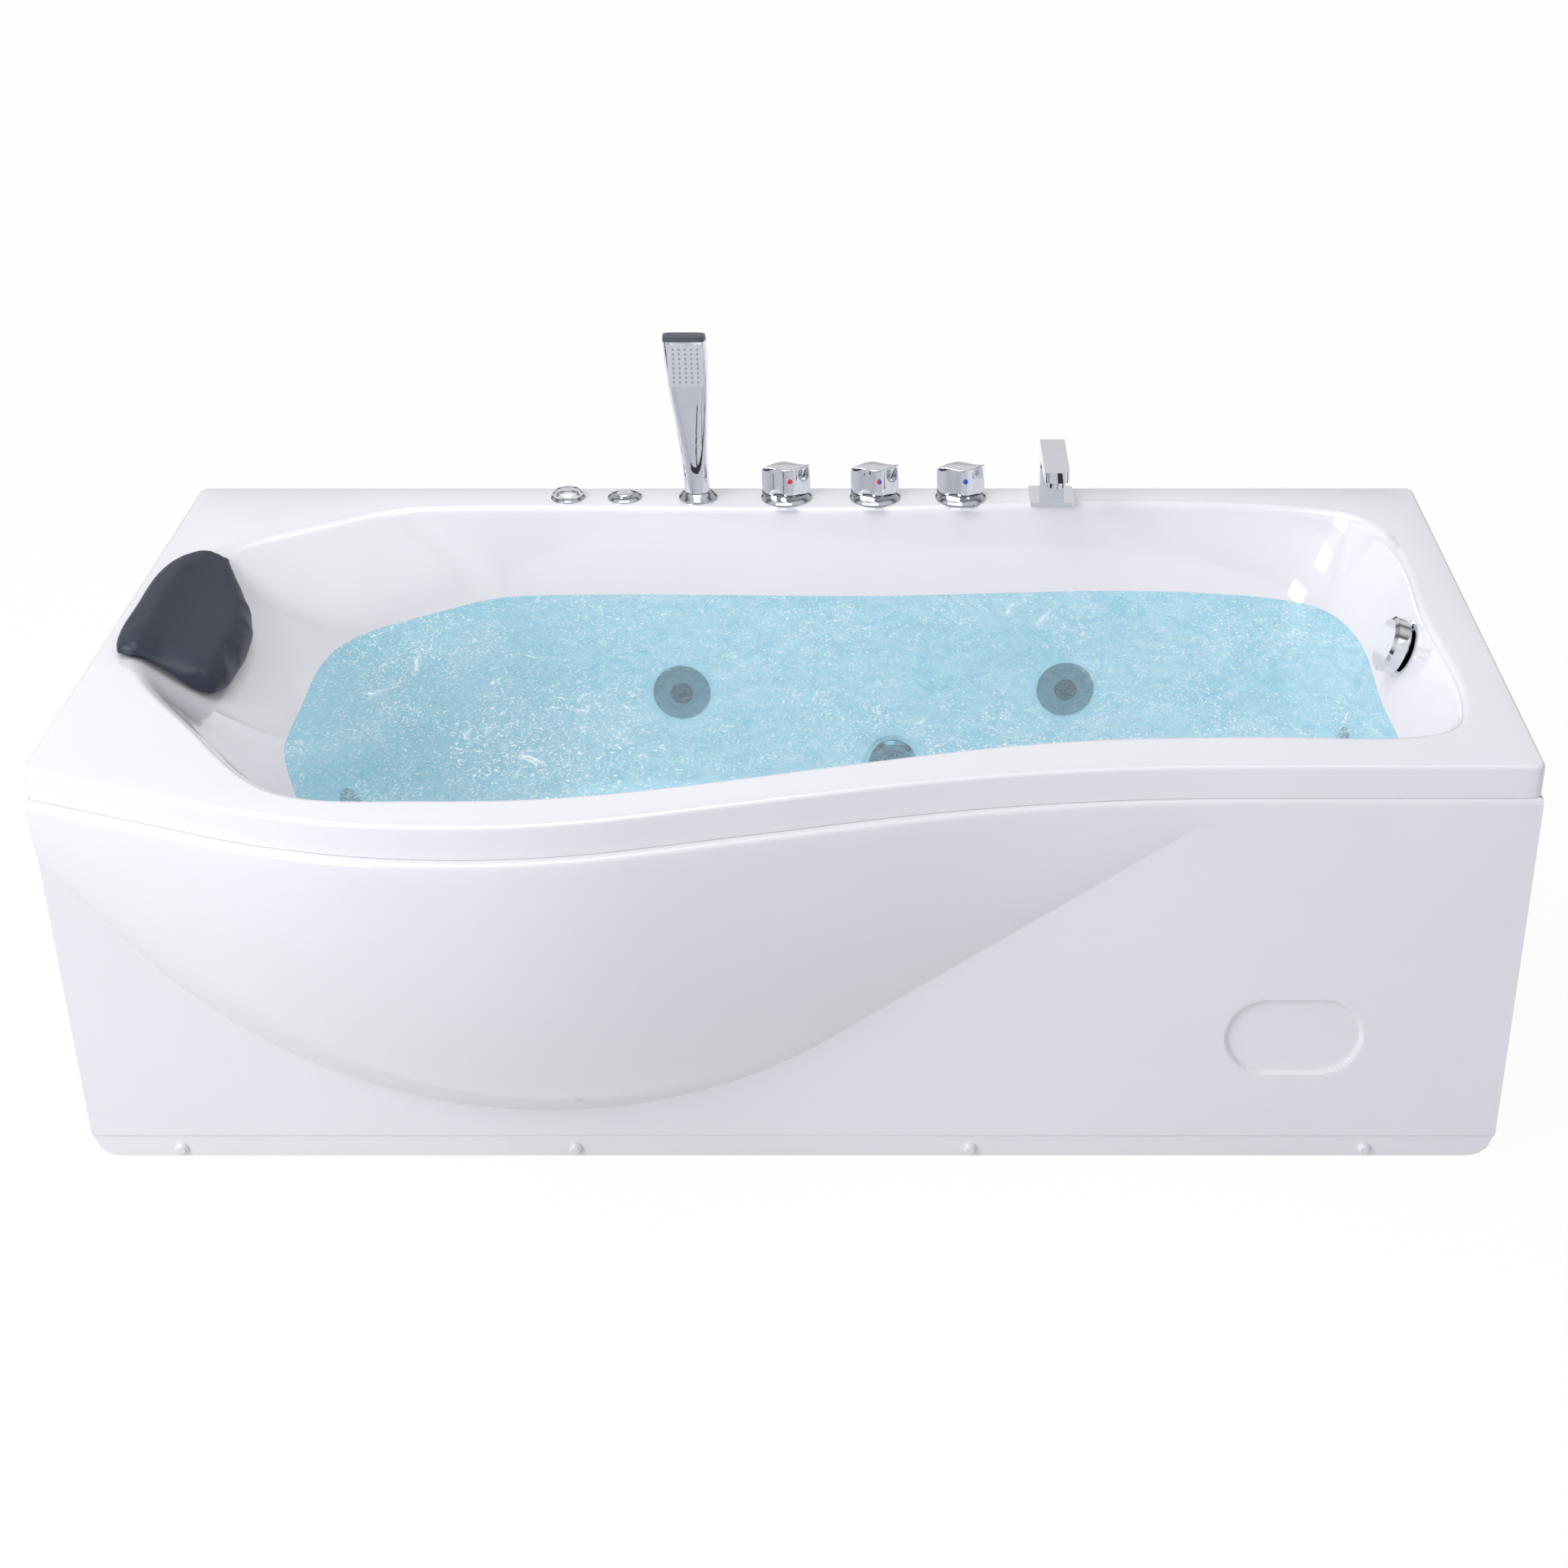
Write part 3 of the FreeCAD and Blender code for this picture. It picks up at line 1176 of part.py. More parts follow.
# ---------------------------------------------------------------- overflow and drain
overflow_flange_form = turned(
    "overflow_ring",
    [(8 + S.running_gap, 0), (S.overflow_radius + 2, 0), (S.overflow_radius + 2, 2),
     (S.overflow_radius * 0.6, 5), (8 + S.running_gap, 5)],
    (0, 0, 0), keep=False,
)
disc_low = S.overflow_gap + 1
overflow_disc = turned(
    "overflow_disc",
    [(0, -16), (8, -16), (8, disc_low), (S.overflow_radius - 3, disc_low), (S.overflow_radius, disc_low + 3),
     (S.overflow_radius, disc_low + S.overflow_thick - 4),
     (S.overflow_radius - 5, disc_low + S.overflow_thick), (0, disc_low + S.overflow_thick)],
    (0, 0, 0), keep=False,
)
overflow_case = turned(
    "overflow_case",
    [(8 + S.running_gap, 0), (S.jet_neck, 0), (S.jet_neck, -S.seat_wall), (30, -S.seat_wall), (30, -48),
     (0, -48), (0, -16.5), (8 + S.running_gap, -16.5)],
    (0, 0, 0), keep=False,
)
overflow_flange = grouped("overflow_flange", copies(overflow_flange_form, [OVERFLOW_SEAT]))
overflow_knob = grouped("overflow_knob", copies(overflow_disc, [OVERFLOW_SEAT]))
overflow_body = grouped("overflow_body", copies(overflow_case, [OVERFLOW_SEAT]))
overflow_back = OVERFLOW_SEAT.multVec(Vector(0, 0, -30))
drain_x, drain_y = float(DRAIN_SPOT.Base.x), float(DRAIN_SPOT.Base.y)
trap_radius = float(S.drain_neck) + 5
overflow_line = pipe(
    [(overflow_back.x, drain_y, overflow_back.z - 20), (overflow_back.x, drain_y, S.waste_level),
     (drain_x + trap_radius - 1, drain_y, S.waste_level)],
    S.overflow_tube, 40,
)
overflow_line = overflow_line.cut(overflow_body.Shape)
overflow_line = overflow_line.cut(cylinder(trap_radius, -200, 0, DRAIN_SPOT))
overflow_pipe = shaped("overflow_pipe", overflow_line)
drain_flange = turned(
    "drain_flange",
    [(S.drain_neck - 4, 0), (S.drain_flange, 0), (S.drain_flange, S.drain_flange_height * 0.4),
     (S.drain_flange - 3, S.drain_flange_height), (S.drain_neck - 4, S.drain_flange_height)],
    (FOOT - S.drain_from_foot, BACK - S.overflow_inset, FLOOR),
)
plug_low = S.drain_flange_height + 0.5
drain_plug = turned(
    "drain_plug",
    [(0, -30), (5, -30), (5, plug_low), (S.plug_radius, plug_low), (S.plug_radius, plug_low + 2),
     (S.plug_radius * 0.7, plug_low + 5), (0, plug_low + 6.5)],
    (FOOT - S.drain_from_foot, BACK - S.overflow_inset, FLOOR),
)
trap_low = S.waste_level - S.waste_radius - 4
trap = cylinder(trap_radius, trap_low, FLOOR_UNDER, at(drain_x, drain_y, 0))
trap = trap.fuse(cylinder(S.drain_neck, FLOOR_UNDER - 1, FLOOR, at(drain_x, drain_y, 0)))
trap = trap.cut(cylinder(S.drain_neck - 4, trap_low + 4, float(FLOOR) + 1, at(drain_x, drain_y, 0)))
waste_end = float(BACK) - 20
waste_y = drain_y + trap_radius


def waste_length(radius, start, length):
    """A round length of the waste pipe's line, running to the back."""
    return Part.makeCylinder(
        float(radius), float(length), Vector(drain_x, float(start), float(S.waste_level)), Vector(0, 1, 0),
    )


waste = waste_length(S.waste_radius, waste_y - 3, waste_end - waste_y + 3)
waste = waste.cut(waste_length(S.waste_radius - 3, waste_y + 1, waste_end))
collar = waste_length(S.waste_radius + 4, waste_end - S.waste_spigot - 6, 6)
waste = waste.fuse(collar.cut(waste))
waste_trap = shaped("waste_trap", trap.fuse(waste))

# ---------------------------------------------------------------- pump and pipes
pump_y = float(RAIL_YS[0] + RAIL_YS[1]) / 2
pump_x, pump_z = float(PUMP_X), float(PUMP_Z)
motor_front = pump_y - float(S.motor_length) / 2 - 30
motor_back = motor_front + float(S.motor_length)
volute_back = motor_back + float(S.volute_length)
BACKWARD = Rotation(Vector(1, 0, 0), -90)  # a piece's Z axis to the back
motor_fan = S.motor_radius * 0.86
pump_motor_form = turned(
    "motor_form",
    [(0, 0), (motor_fan, 0), (motor_fan, 34), (S.motor_radius, 36), (S.motor_radius, S.motor_length - 14),
     (motor_fan, S.motor_length - 12), (motor_fan, S.motor_length), (0, S.motor_length)],
    (0, 0, 0), keep=False,
)
motor = copies(pump_motor_form, [at(pump_x, motor_front, pump_z, BACKWARD)])[0]
saddle = block(
    pump_x - 45, pump_x + 45, motor_front + 50, motor_back - 20, TUBE_TOP + S.pump_plate_sheet, pump_z - 40,
)
pump_motor = shaped("pump_motor", motor.fuse(saddle))
volute_form = turned(
    "volute_form",
    [(0, 0), (S.volute_radius * 0.8, 0), (S.volute_radius, 12), (S.volute_radius, S.volute_length - 18),
     (S.volute_radius * 0.6, S.volute_length), (S.pump_port + 5, S.volute_length),
     (S.pump_port + 5, S.volute_length + 20), (S.pump_port, S.volute_length + 20),
     (S.pump_port, S.volute_length - 20), (0, S.volute_length - 20)],
    (0, 0, 0), keep=False,
)
volute = copies(volute_form, [at(pump_x, motor_back, pump_z, BACKWARD)])[0]
outlet_y = motor_back + float(S.volute_length) / 2 - 3
outlet_top = pump_z + float(S.volute_radius) + 10
volute = volute.fuse(cylinder(S.pressure_pipe + 4, pump_z + 40, outlet_top, at(pump_x, outlet_y, 0)))
pump_volute = shaped("pump_volute", volute)
plate_half = float(RAIL_YS[1] - RAIL_YS[0]) / 2 + float(S.tube) / 2
pump_plate = padded(
    "pump_plate", "XY_Plane", [(-58, -plate_half), (58, -plate_half), (58, plate_half), (-58, plate_half)],
    S.pump_plate_sheet, (PUMP_X, pump_y, TUBE_TOP),
)


suction_centre = SUCTION_SEAT.multVec(Vector(0, 0, float(jet_end) + 26))
suction_line = pipe(
    [(suction_centre.x - 20, suction_centre.y, suction_centre.z),
     (pump_x + 210, suction_centre.y, suction_centre.z),
     (pump_x, suction_centre.y, pump_z), (pump_x, volute_back + 6, pump_z)],
    S.pump_port - S.joint_gap, 62,
)
suction_core = cylinder(S.jet_body - 1, float(jet_end), 0, SUCTION_SEAT)
suction_line = suction_line.cut(suction_body.Shape).cut(suction_core)
suction_pipe = shaped("suction_pipe", max(suction_line.Solids, key=lambda solid: solid.Volume))
jet_centres = [seat.multVec(Vector(0, 0, float(jet_end) + 35)) for seat in JET_SEATS]
first, second, rest, sole = jet_centres
lift = 330
runs = [
    [(pump_x, outlet_y, outlet_top), (pump_x, outlet_y, lift + 10), (pump_x, first.y, lift + 10),
     (pump_x + 160, first.y, first.z), (first.x - 20, first.y, first.z)],
    [(first.x + 20, first.y, first.z), (second.x - 20, second.y, second.z)],
    [(second.x + 20, second.y, second.z), (sole.x, second.y, second.z), (sole.x, sole.y + 20, sole.z)],
    [(rest.x, rest.y + 20, rest.z), (rest.x, outlet_y, rest.z), (pump_x + 10, outlet_y, rest.z)],
]
lines = []
for run, bend in zip(runs, (45, 45, 45, 20)):
    lines.append(pipe(run, S.pressure_pipe, bend))
cores = [cylinder(S.jet_body - 1, float(jet_end), 0, seat) for seat in JET_SEATS]
for i, line in enumerate(lines):
    for seat, core, case in zip(JET_SEATS, cores, jet_bodies.Shape.Solids):
        line = line.cut(case).cut(core)
    if i == 3:
        line = line.cut(lines[0])
    lines[i] = max(line.Solids, key=lambda solid: solid.Volume)
pressure_pipes = grouped("pressure_pipes", lines)
air_level = float(RIM - S.air_tube_depth)
air_x = spot_x["air"]
air_start = float(RIM - S.button_depth)
air_line = pipe(
    [(air_x, DECK_Y, air_start), (air_x, DECK_Y, air_start - 60), (air_x, first.y, air_level),
     (second.x, second.y, air_level), (second.x, second.y, second.z + 25)],
    S.air_tube, 16,
)
drop = cylinder(S.air_tube, first.z + 25, air_level, at(first.x, first.y, 0))
air_line = air_line.fuse(drop)
for case, core in zip(jet_bodies.Shape.Solids, cores):
    air_line = air_line.cut(case).cut(core)
air_pipe = shaped("air_pipe", max(air_line.Solids, key=lambda solid: solid.Volume))


# ---------------------------------------------------------------- head rest
def wall_x(y, level):
    """The head end wall of the basin at a place across the tub and a level."""
    start = Vector(0, y, level)
    ray = Part.LineSegment(start, start + Vector(-float(S.tub_length), 0, 0)).toShape()
    return min(v.Point.x for v in ray.common(BASIN_SPACE).Vertexes)


# place across the tub as a share of half the width, then shares of the thickness and of the drop
PILLOW_STATIONS = [
    (-1, 0.62, 0.96), (-0.93, 0.86, 1), (-0.75, 1, 1), (-0.35, 1, 1), (0.05, 1, 1), (0.35, 0.98, 0.87),
    (0.6, 0.92, 0.70), (0.8, 0.8, 0.56), (0.93, 0.6, 0.47), (1, 0.3, 0.42),
]


def pillow_section(share, plump, fall):
    """The head rest cut along the tub: a flap on the deck, a crest, and a pad down the back rest."""
    y = float(BACK - S.pillow_inset) + float(S.pillow_width) / 2 * share
    gap, deck, thick = float(S.pillow_gap), float(RIM), float(S.pillow_thick) * plump
    drop = float(S.pillow_drop) * fall
    edge = wall_x(y, deck - 0.5)
    middle, low = wall_x(y, deck - drop / 2), wall_x(y, deck - drop)
    flap = float(S.pillow_flap) * (0.55 + 0.45 * plump)
    under = [
        (edge - flap, deck + gap), (edge - 9, deck + gap), (edge + 5 + gap, deck - 4),
        (middle + gap * 2, deck - drop / 2 + gap), (low + gap * 2, deck - drop + gap),
    ]
    over = [
        (low + 0.52 * thick, deck - drop + 0.05 * thick), (low + 0.8 * thick, deck - drop + 0.65 * thick),
        (middle + 0.66 * thick, deck - drop / 2 + 0.72 * thick), (edge + 0.25 * thick, deck + 0.62 * thick),
        (edge - 0.45 * flap, deck + 0.78 * thick + gap), (edge - flap - 2, deck + 0.3 * thick + gap),
    ]
    spots = [Vector(x, y, z) for x, z in under]
    edges = [Part.LineSegment(a, b).toShape() for a, b in zip(spots, spots[1:])]
    top = Part.BSplineCurve()
    top.interpolate([spots[-1], *(Vector(x, y, z) for x, z in over), spots[0]])
    return Part.Wire(edges + [top.toShape()])


headrest_pillow = shaped(
    "headrest_pillow", Part.makeLoft([pillow_section(*station) for station in PILLOW_STATIONS], True, True)
)


# ---------------------------------------------------------------- checks and files
doc.recompute()
for thing in doc.Objects:
    if "Invalid" in thing.State or "Error" in thing.State:
        raise RuntimeError(f"{thing.Label}: {thing.State}")
for thing in MADE:
    if thing.Shape.isNull() or not thing.Shape.isValid():
        raise RuntimeError(f"{thing.Label} has no valid shape")
os.makedirs("parts", exist_ok=True)
for thing in MADE:
    thing.Shape.exportStep(f"parts/{thing.Label}.step")
    print(f"{thing.Label}: {len(thing.Shape.Solids)} solid(s), {thing.Shape.Volume / 1000:.1f} cm3")
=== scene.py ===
import json
import math
from contextlib import contextmanager
import bmesh
import bpy
import numpy as np
from mathutils import Matrix, Vector


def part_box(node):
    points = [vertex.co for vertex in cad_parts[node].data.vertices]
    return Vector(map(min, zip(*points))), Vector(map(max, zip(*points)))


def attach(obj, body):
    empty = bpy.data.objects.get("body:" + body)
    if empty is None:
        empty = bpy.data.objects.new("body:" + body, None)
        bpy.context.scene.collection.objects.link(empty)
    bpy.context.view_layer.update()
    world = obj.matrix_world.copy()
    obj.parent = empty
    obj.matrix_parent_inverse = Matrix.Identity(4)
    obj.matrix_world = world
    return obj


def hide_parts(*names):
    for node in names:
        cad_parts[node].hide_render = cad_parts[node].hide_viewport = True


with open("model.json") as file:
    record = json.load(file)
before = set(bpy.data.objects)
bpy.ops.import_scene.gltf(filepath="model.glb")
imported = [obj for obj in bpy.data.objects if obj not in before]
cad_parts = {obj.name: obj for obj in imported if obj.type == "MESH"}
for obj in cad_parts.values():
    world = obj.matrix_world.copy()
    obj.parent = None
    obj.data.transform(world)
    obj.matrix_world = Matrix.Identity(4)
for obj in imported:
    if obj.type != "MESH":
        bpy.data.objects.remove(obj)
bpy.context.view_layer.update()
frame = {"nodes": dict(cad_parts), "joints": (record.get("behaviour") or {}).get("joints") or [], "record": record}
cad = frame["nodes"]
print("frame loaded:", len(cad), "nodes")

mm = 0.001

# the sizes of the tub that the shell and the skirt share, in millimetres
tub = {
    "head": -850, "foot": 850, "back": 484, "front": -336, "rim": 540,
    "lip": 40, "wall": 6, "rimCorner": 12, "rimEdge": 5,
    "bowOut": 136, "bowPlace": -350, "bowSlopeHead": 0.38, "bowSlopeFoot": 0.25,
    "bowRadius": 800, "bowRunOut": 1755,
}


def makeObject(name, mesh, material=None):
    piece = bpy.data.objects.new(name, mesh)
    bpy.context.scene.collection.objects.link(piece)
    if material:
        mesh.materials.append(material)
    return piece


def meshOf(name, points, faces, smooth=True):
    mesh = bpy.data.meshes.new(name)
    mesh.from_pydata([tuple(p) for p in points], [], faces)
    mesh.polygons.foreach_set("use_smooth", [smooth] * len(mesh.polygons))
    mesh.update()
    return mesh


@contextmanager
def editing(mesh):
    # the mesh as a bmesh, written back at the end
    work = bmesh.new()
    work.from_mesh(mesh)
    yield work
    work.to_mesh(mesh)
    work.free()


def tidyMesh(mesh, merge=1e-5):
    with editing(mesh) as work:
        bmesh.ops.remove_doubles(work, verts=work.verts, dist=merge)
        bmesh.ops.recalc_face_normals(work, faces=work.faces)


def keepModifiers(piece):
    # turns what the modifiers make into the piece's own mesh
    bpy.context.view_layer.update()
    ready = piece.evaluated_get(bpy.context.evaluated_depsgraph_get())
    mesh = bpy.data.meshes.new_from_object(ready)
    piece.modifiers.clear()
    piece.data = mesh


def sharpen(mesh, degrees=35):
    # smooth all over, with hard edges where the surface turns more than this
    mesh.polygons.foreach_set("use_smooth", [True] * len(mesh.polygons))
    with editing(mesh) as work:
        for edge in work.edges:
            if len(edge.link_faces) == 2:
                edge.smooth = edge.calc_face_angle(0) < math.radians(degrees)


def cubicSpan(ends, bends, gap, b):
    # between two knots, at the share b of the gap
    a = 1 - b
    bend = ((a ** 3 - a) * bends[0] + (b ** 3 - b) * bends[1]) * gap ** 2 / 6
    return a * ends[0] + b * ends[1] + bend


def naturalSpline(knots, values, at):
    # a natural cubic through values (knots, ...) read at the given places
    knots = np.asarray(knots, float)
    flat = np.asarray(values, float).reshape(len(knots), -1)
    gaps = np.diff(knots)
    count = len(knots)
    left = np.eye(count)
    right = np.zeros((count, flat.shape[1]))
    for i in range(1, count - 1):
        left[i, i - 1:i + 2] = gaps[i - 1], 2 * (gaps[i - 1] + gaps[i]), gaps[i]
        right[i] = 6 * ((flat[i + 1] - flat[i]) / gaps[i] - (flat[i] - flat[i - 1]) / gaps[i - 1])
    bend = np.linalg.solve(left, right)
    at = np.atleast_1d(np.asarray(at, float))
    i = np.clip(np.searchsorted(knots, at, side="right") - 1, 0, count - 2)
    gap, b = gaps[i][:, None], ((at - knots[i]) / gaps[i])[:, None]
    found = cubicSpan((flat[i], flat[i + 1]), (bend[i], bend[i + 1]), gap, b)
    return found.reshape((len(at),) + np.asarray(values).shape[1:])


def closedSpline(points, count):
    # a closed cubic through the points, read at even steps of its chord length
    points = np.asarray(points, float)
    size = len(points)
    gaps = np.linalg.norm(np.roll(points, -1, axis=0) - points, axis=1)
    left = np.zeros((size, size))
    right = np.zeros_like(points)
    for i in range(size):
        before, after = gaps[i - 1], gaps[i]
        left[i, i - 1] += before
        left[i, i] += 2 * (before + after)
        left[i, (i + 1) % size] += after
        right[i] = 6 * ((points[(i + 1) % size] - points[i]) / after - (points[i] - points[i - 1]) / before)
    bend = np.linalg.solve(left, right)
    ends = np.concatenate([[0], np.cumsum(gaps)])
    at = np.arange(count) / count * ends[-1]
    i = np.clip(np.searchsorted(ends, at, side="right") - 1, 0, size - 1)
    j = (i + 1) % size
    gap, b = gaps[i][:, None], ((at - ends[i]) / gaps[i])[:, None]
    return cubicSpan((points[i], points[j]), (bend[i], bend[j]), gap, b)


def roundedCorners(corners):
    # start, middle and end of the arc at each corner of a closed outline
    arcs = []
    count = len(corners)
    spots = [Vector(c[:2]) for c in corners]
    for i, (spot, corner) in enumerate(zip(spots, corners)):
        back = (spots[i - 1] - spot).normalized()
        on = (spots[(i + 1) % count] - spot).normalized()
        half = back.angle(on) / 2
        cut = corner[2] / math.tan(half)
        reach = corner[2] / math.sin(half) - corner[2]
        middle = spot + (back + on).normalized() * reach
        arcs.append((spot + back * cut, middle, spot + on * cut, half, corner[2]))
    return arcs


def splineOutline(corners, count):
    # the same smooth line that the part's basin follows
    arcs = roundedCorners(corners)
    points = []
    for i, (start, middle, end, _, _) in enumerate(arcs):
        points += [start, middle, end, (end + arcs[(i + 1) % len(arcs)][0]) / 2]
    return closedSpline(points, count)


def arcOutline(corners, step):
    # lines and true arcs, a point about every step
    points = []
    arcs = roundedCorners(corners)
    for i, (start, middle, end, half, radius) in enumerate(arcs):
        centre = middle + (middle - (start + end) / 2).normalized() * -radius
        sweep = math.pi - 2 * half
        count = max(3, round(radius * sweep / step))
        first = start - centre
        turn = math.atan2(end.y - centre.y, end.x - centre.x) - math.atan2(first.y, first.x)
        turn = (turn + math.pi) % math.tau - math.pi
        for k in range(count + 1):
            spin = turn * k / count
            c, s = math.cos(spin), math.sin(spin)
            points.append(centre + Vector((first.x * c - first.y * s, first.x * s + first.y * c)))
        after = arcs[(i + 1) % len(arcs)][0]
        run = max(1, round((after - end).length / step))
        points += [end.lerp(after, k / run) for k in range(1, run)]
    return np.array([tuple(p) for p in points])


def outwards(points):
    # unit vectors square to a closed line, away from its inside
    along = np.roll(points, -1, axis=0) - np.roll(points, 1, axis=0)
    across = np.stack([along[:, 1], -along[:, 0]], axis=1)
    across /= np.linalg.norm(across, axis=1)[:, None]
    area = np.sum(points[:, 0] * np.roll(points[:, 1], -1) - np.roll(points[:, 0], -1) * points[:, 1])
    return across if area > 0 else -across


def valley(x, place, low, radius, slopeLeft, slopeRight):
    # an arc at the lowest place that runs on into a straight slope on each side
    leanLeft, leanRight = math.atan(slopeLeft), math.atan(slopeRight)
    left = place - radius * math.sin(leanLeft)
    right = place + radius * math.sin(leanRight)
    if x < left:
        return low + radius * (1 - math.cos(leanLeft)) + slopeLeft * (left - x)
    if x > right:
        return low + radius * (1 - math.cos(leanRight)) + slopeRight * (x - right)
    return low + radius - math.sqrt(radius ** 2 - (x - place) ** 2)


class Bow:
    # the front line of the rim, and a little further out that of the skirt
    def __init__(self, front, out):
        self.front, self.low, self.place = front, front - out, tub["bowPlace"]
        self.radius, self.runOut = tub["bowRadius"], tub["bowRunOut"]
        self.slopes = tub["bowSlopeHead"], tub["bowSlopeFoot"]
        secants = [1 / math.cos(math.atan(slope)) for slope in self.slopes]
        centre = self.low + self.radius
        self.cornerX = self.place + self.radius * (secants[1] - secants[0]) / sum(self.slopes)
        self.cornerY = centre - self.radius * secants[1] + self.slopes[1] * (self.cornerX - self.place)
        self.runX = self.place + (front - centre + self.radius * secants[1]) / self.slopes[1]

    def y(self, x):
        lean = math.atan(self.slopes[1])
        bend = self.runOut * math.tan(lean / 2)
        end = self.runX + bend
        if x >= end:
            return self.front
        if x > self.runX - bend * math.cos(lean):
            return self.front - self.runOut + math.sqrt(self.runOut ** 2 - (end - x) ** 2)
        return min(self.front, valley(x, self.place, self.low, self.radius, *self.slopes))


rimBow = Bow(tub["front"], tub["bowOut"])


def rimOutline(step):
    corner = tub["rimCorner"]
    return arcOutline([
        (tub["head"], tub["back"], corner),
        (tub["head"], rimBow.y(tub["head"]), corner),
        (rimBow.cornerX, rimBow.cornerY, tub["bowRadius"]),
        (rimBow.runX, tub["front"], tub["bowRunOut"]),
        (tub["foot"], tub["front"], corner),
        (tub["foot"], tub["back"], corner),
    ], step)


def newMaterial(name):
    made = bpy.data.materials.new(name)
    made.use_nodes = True
    return made, made.node_tree.nodes, made.node_tree.nodes["Principled BSDF"]


def setSockets(shader, **values):
    for words, value in values.items():
        shader.inputs[words.replace("_", " ")].default_value = value


def addNode(nodes, kind, settings=None, **values):
    # a new node with its own settings, then the values of its inputs
    made = nodes.new(kind)
    for words, value in (settings or {}).items():
        setattr(made, words, value)
    setSockets(made, **values)
    return made


def wire(*wires):
    # each says from which node and output, to which node and input
    for source, output, target, socket in wires:
        source.id_data.links.new(source.outputs[output], target.inputs[socket])


def mathNode(nodes, operation, *values):
    # None leaves an input to its link
    made = addNode(nodes, "ShaderNodeMath", {"operation": operation})
    for socket, value in zip(made.inputs, values):
        if value is not None:
            socket.default_value = value
    return made


def mixNode(nodes, **values):
    return addNode(nodes, "ShaderNodeMix", {"data_type": "RGBA"}, **values)


def fineGrainGroup():
    # a shared effect: fine noise whose height comes out as a value
    group = bpy.data.node_groups.new("fineGrain", "ShaderNodeTree")
    for words, value in (("Scale", 900), ("Detail", 3)):
        socket = group.interface.new_socket(name=words, in_out="INPUT", socket_type="NodeSocketFloat")
        socket.default_value = value
    group.interface.new_socket(name="Height", in_out="OUTPUT", socket_type="NodeSocketFloat")
    start, end = group.nodes.new("NodeGroupInput"), group.nodes.new("NodeGroupOutput")
    place, noise = group.nodes.new("ShaderNodeTexCoord"), group.nodes.new("ShaderNodeTexNoise")
    wire(
        (place, "Object", noise, "Vector"), (start, "Scale", noise, "Scale"),
        (start, "Detail", noise, "Detail"), (noise, "Fac", end, "Height"),
    )
    return group


fineGrain = fineGrainGroup()
drift = {"scale": 7, "gloss": 0.35, "shade": 0.03}


def plainFinish(name, colour, metallic=0.0, roughness=0.4, coat=0.0, grain=None):
    # one colour whose gloss and shade drift a little over the surface
    made, nodes, shader = newMaterial(name)
    setSockets(shader, Metallic=metallic, Coat_Weight=coat)
    cloud = addNode(nodes, "ShaderNodeGroup", {"node_tree": fineGrain}, Scale=drift["scale"])
    least, most = roughness * (1 - drift["gloss"]), roughness * (1 + drift["gloss"])
    gloss = addNode(nodes, "ShaderNodeMapRange", To_Min=least, To_Max=most)
    low = [shade * (1 - drift["shade"]) for shade in colour]
    high = [min(1, shade * (1 + drift["shade"])) for shade in colour]
    tone = mixNode(nodes, A=(*low, 1), B=(*high, 1))
    wire(
        (cloud, "Height", gloss, "Value"), (cloud, "Height", tone, "Factor"),
        (gloss, "Result", shader, "Roughness"), (tone, "Result", shader, "Base Color"),
    )
    if grain:
        scale, strength, distance = grain
        fine = addNode(nodes, "ShaderNodeGroup", {"node_tree": fineGrain}, Scale=scale)
        bump = addNode(nodes, "ShaderNodeBump", Strength=strength, Distance=distance)
        wire((fine, "Height", bump, "Height"), (bump, "Normal", shader, "Normal"))
    return made


def mottled(name, light, dark, scale, metallic, roughness):
    # a finish whose colour drifts between two shades
    made, nodes, shader = newMaterial(name)
    place = nodes.new("ShaderNodeTexCoord")
    noise = addNode(nodes, "ShaderNodeTexNoise", Scale=scale, Detail=6)
    ramp = nodes.new("ShaderNodeValToRGB")
    for element, position, colour in zip(ramp.color_ramp.elements, (0.35, 0.65), (dark, light)):
        element.position = position
        element.color = (*colour, 1)
    wire(
        (place, "Object", noise, "Vector"), (noise, "Fac", ramp, "Fac"),
        (ramp, "Color", shader, "Base Color"),
    )
    setSockets(shader, Metallic=metallic, Roughness=roughness)
    return made


def twoTone(name, left, right, across):
    # one colour up to a place along x, the other beyond it
    made, nodes, shader = newMaterial(name)
    place, split = nodes.new("ShaderNodeTexCoord"), nodes.new("ShaderNodeSeparateXYZ")
    beyond = mathNode(nodes, "GREATER_THAN", None, across)
    mix = mixNode(nodes, A=(*left, 1), B=(*right, 1))
    wire(
        (place, "Object", split, "Vector"), (split, "X", beyond, 0), (beyond, "Value", mix, "Factor"),
        (mix, "Result", shader, "Base Color"),
    )
    setSockets(shader, Roughness=0.2, Coat_Weight=0.5)
    return made


def middleOf(name):
    low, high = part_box(name)
    return (Vector(low) + Vector(high)) / 2


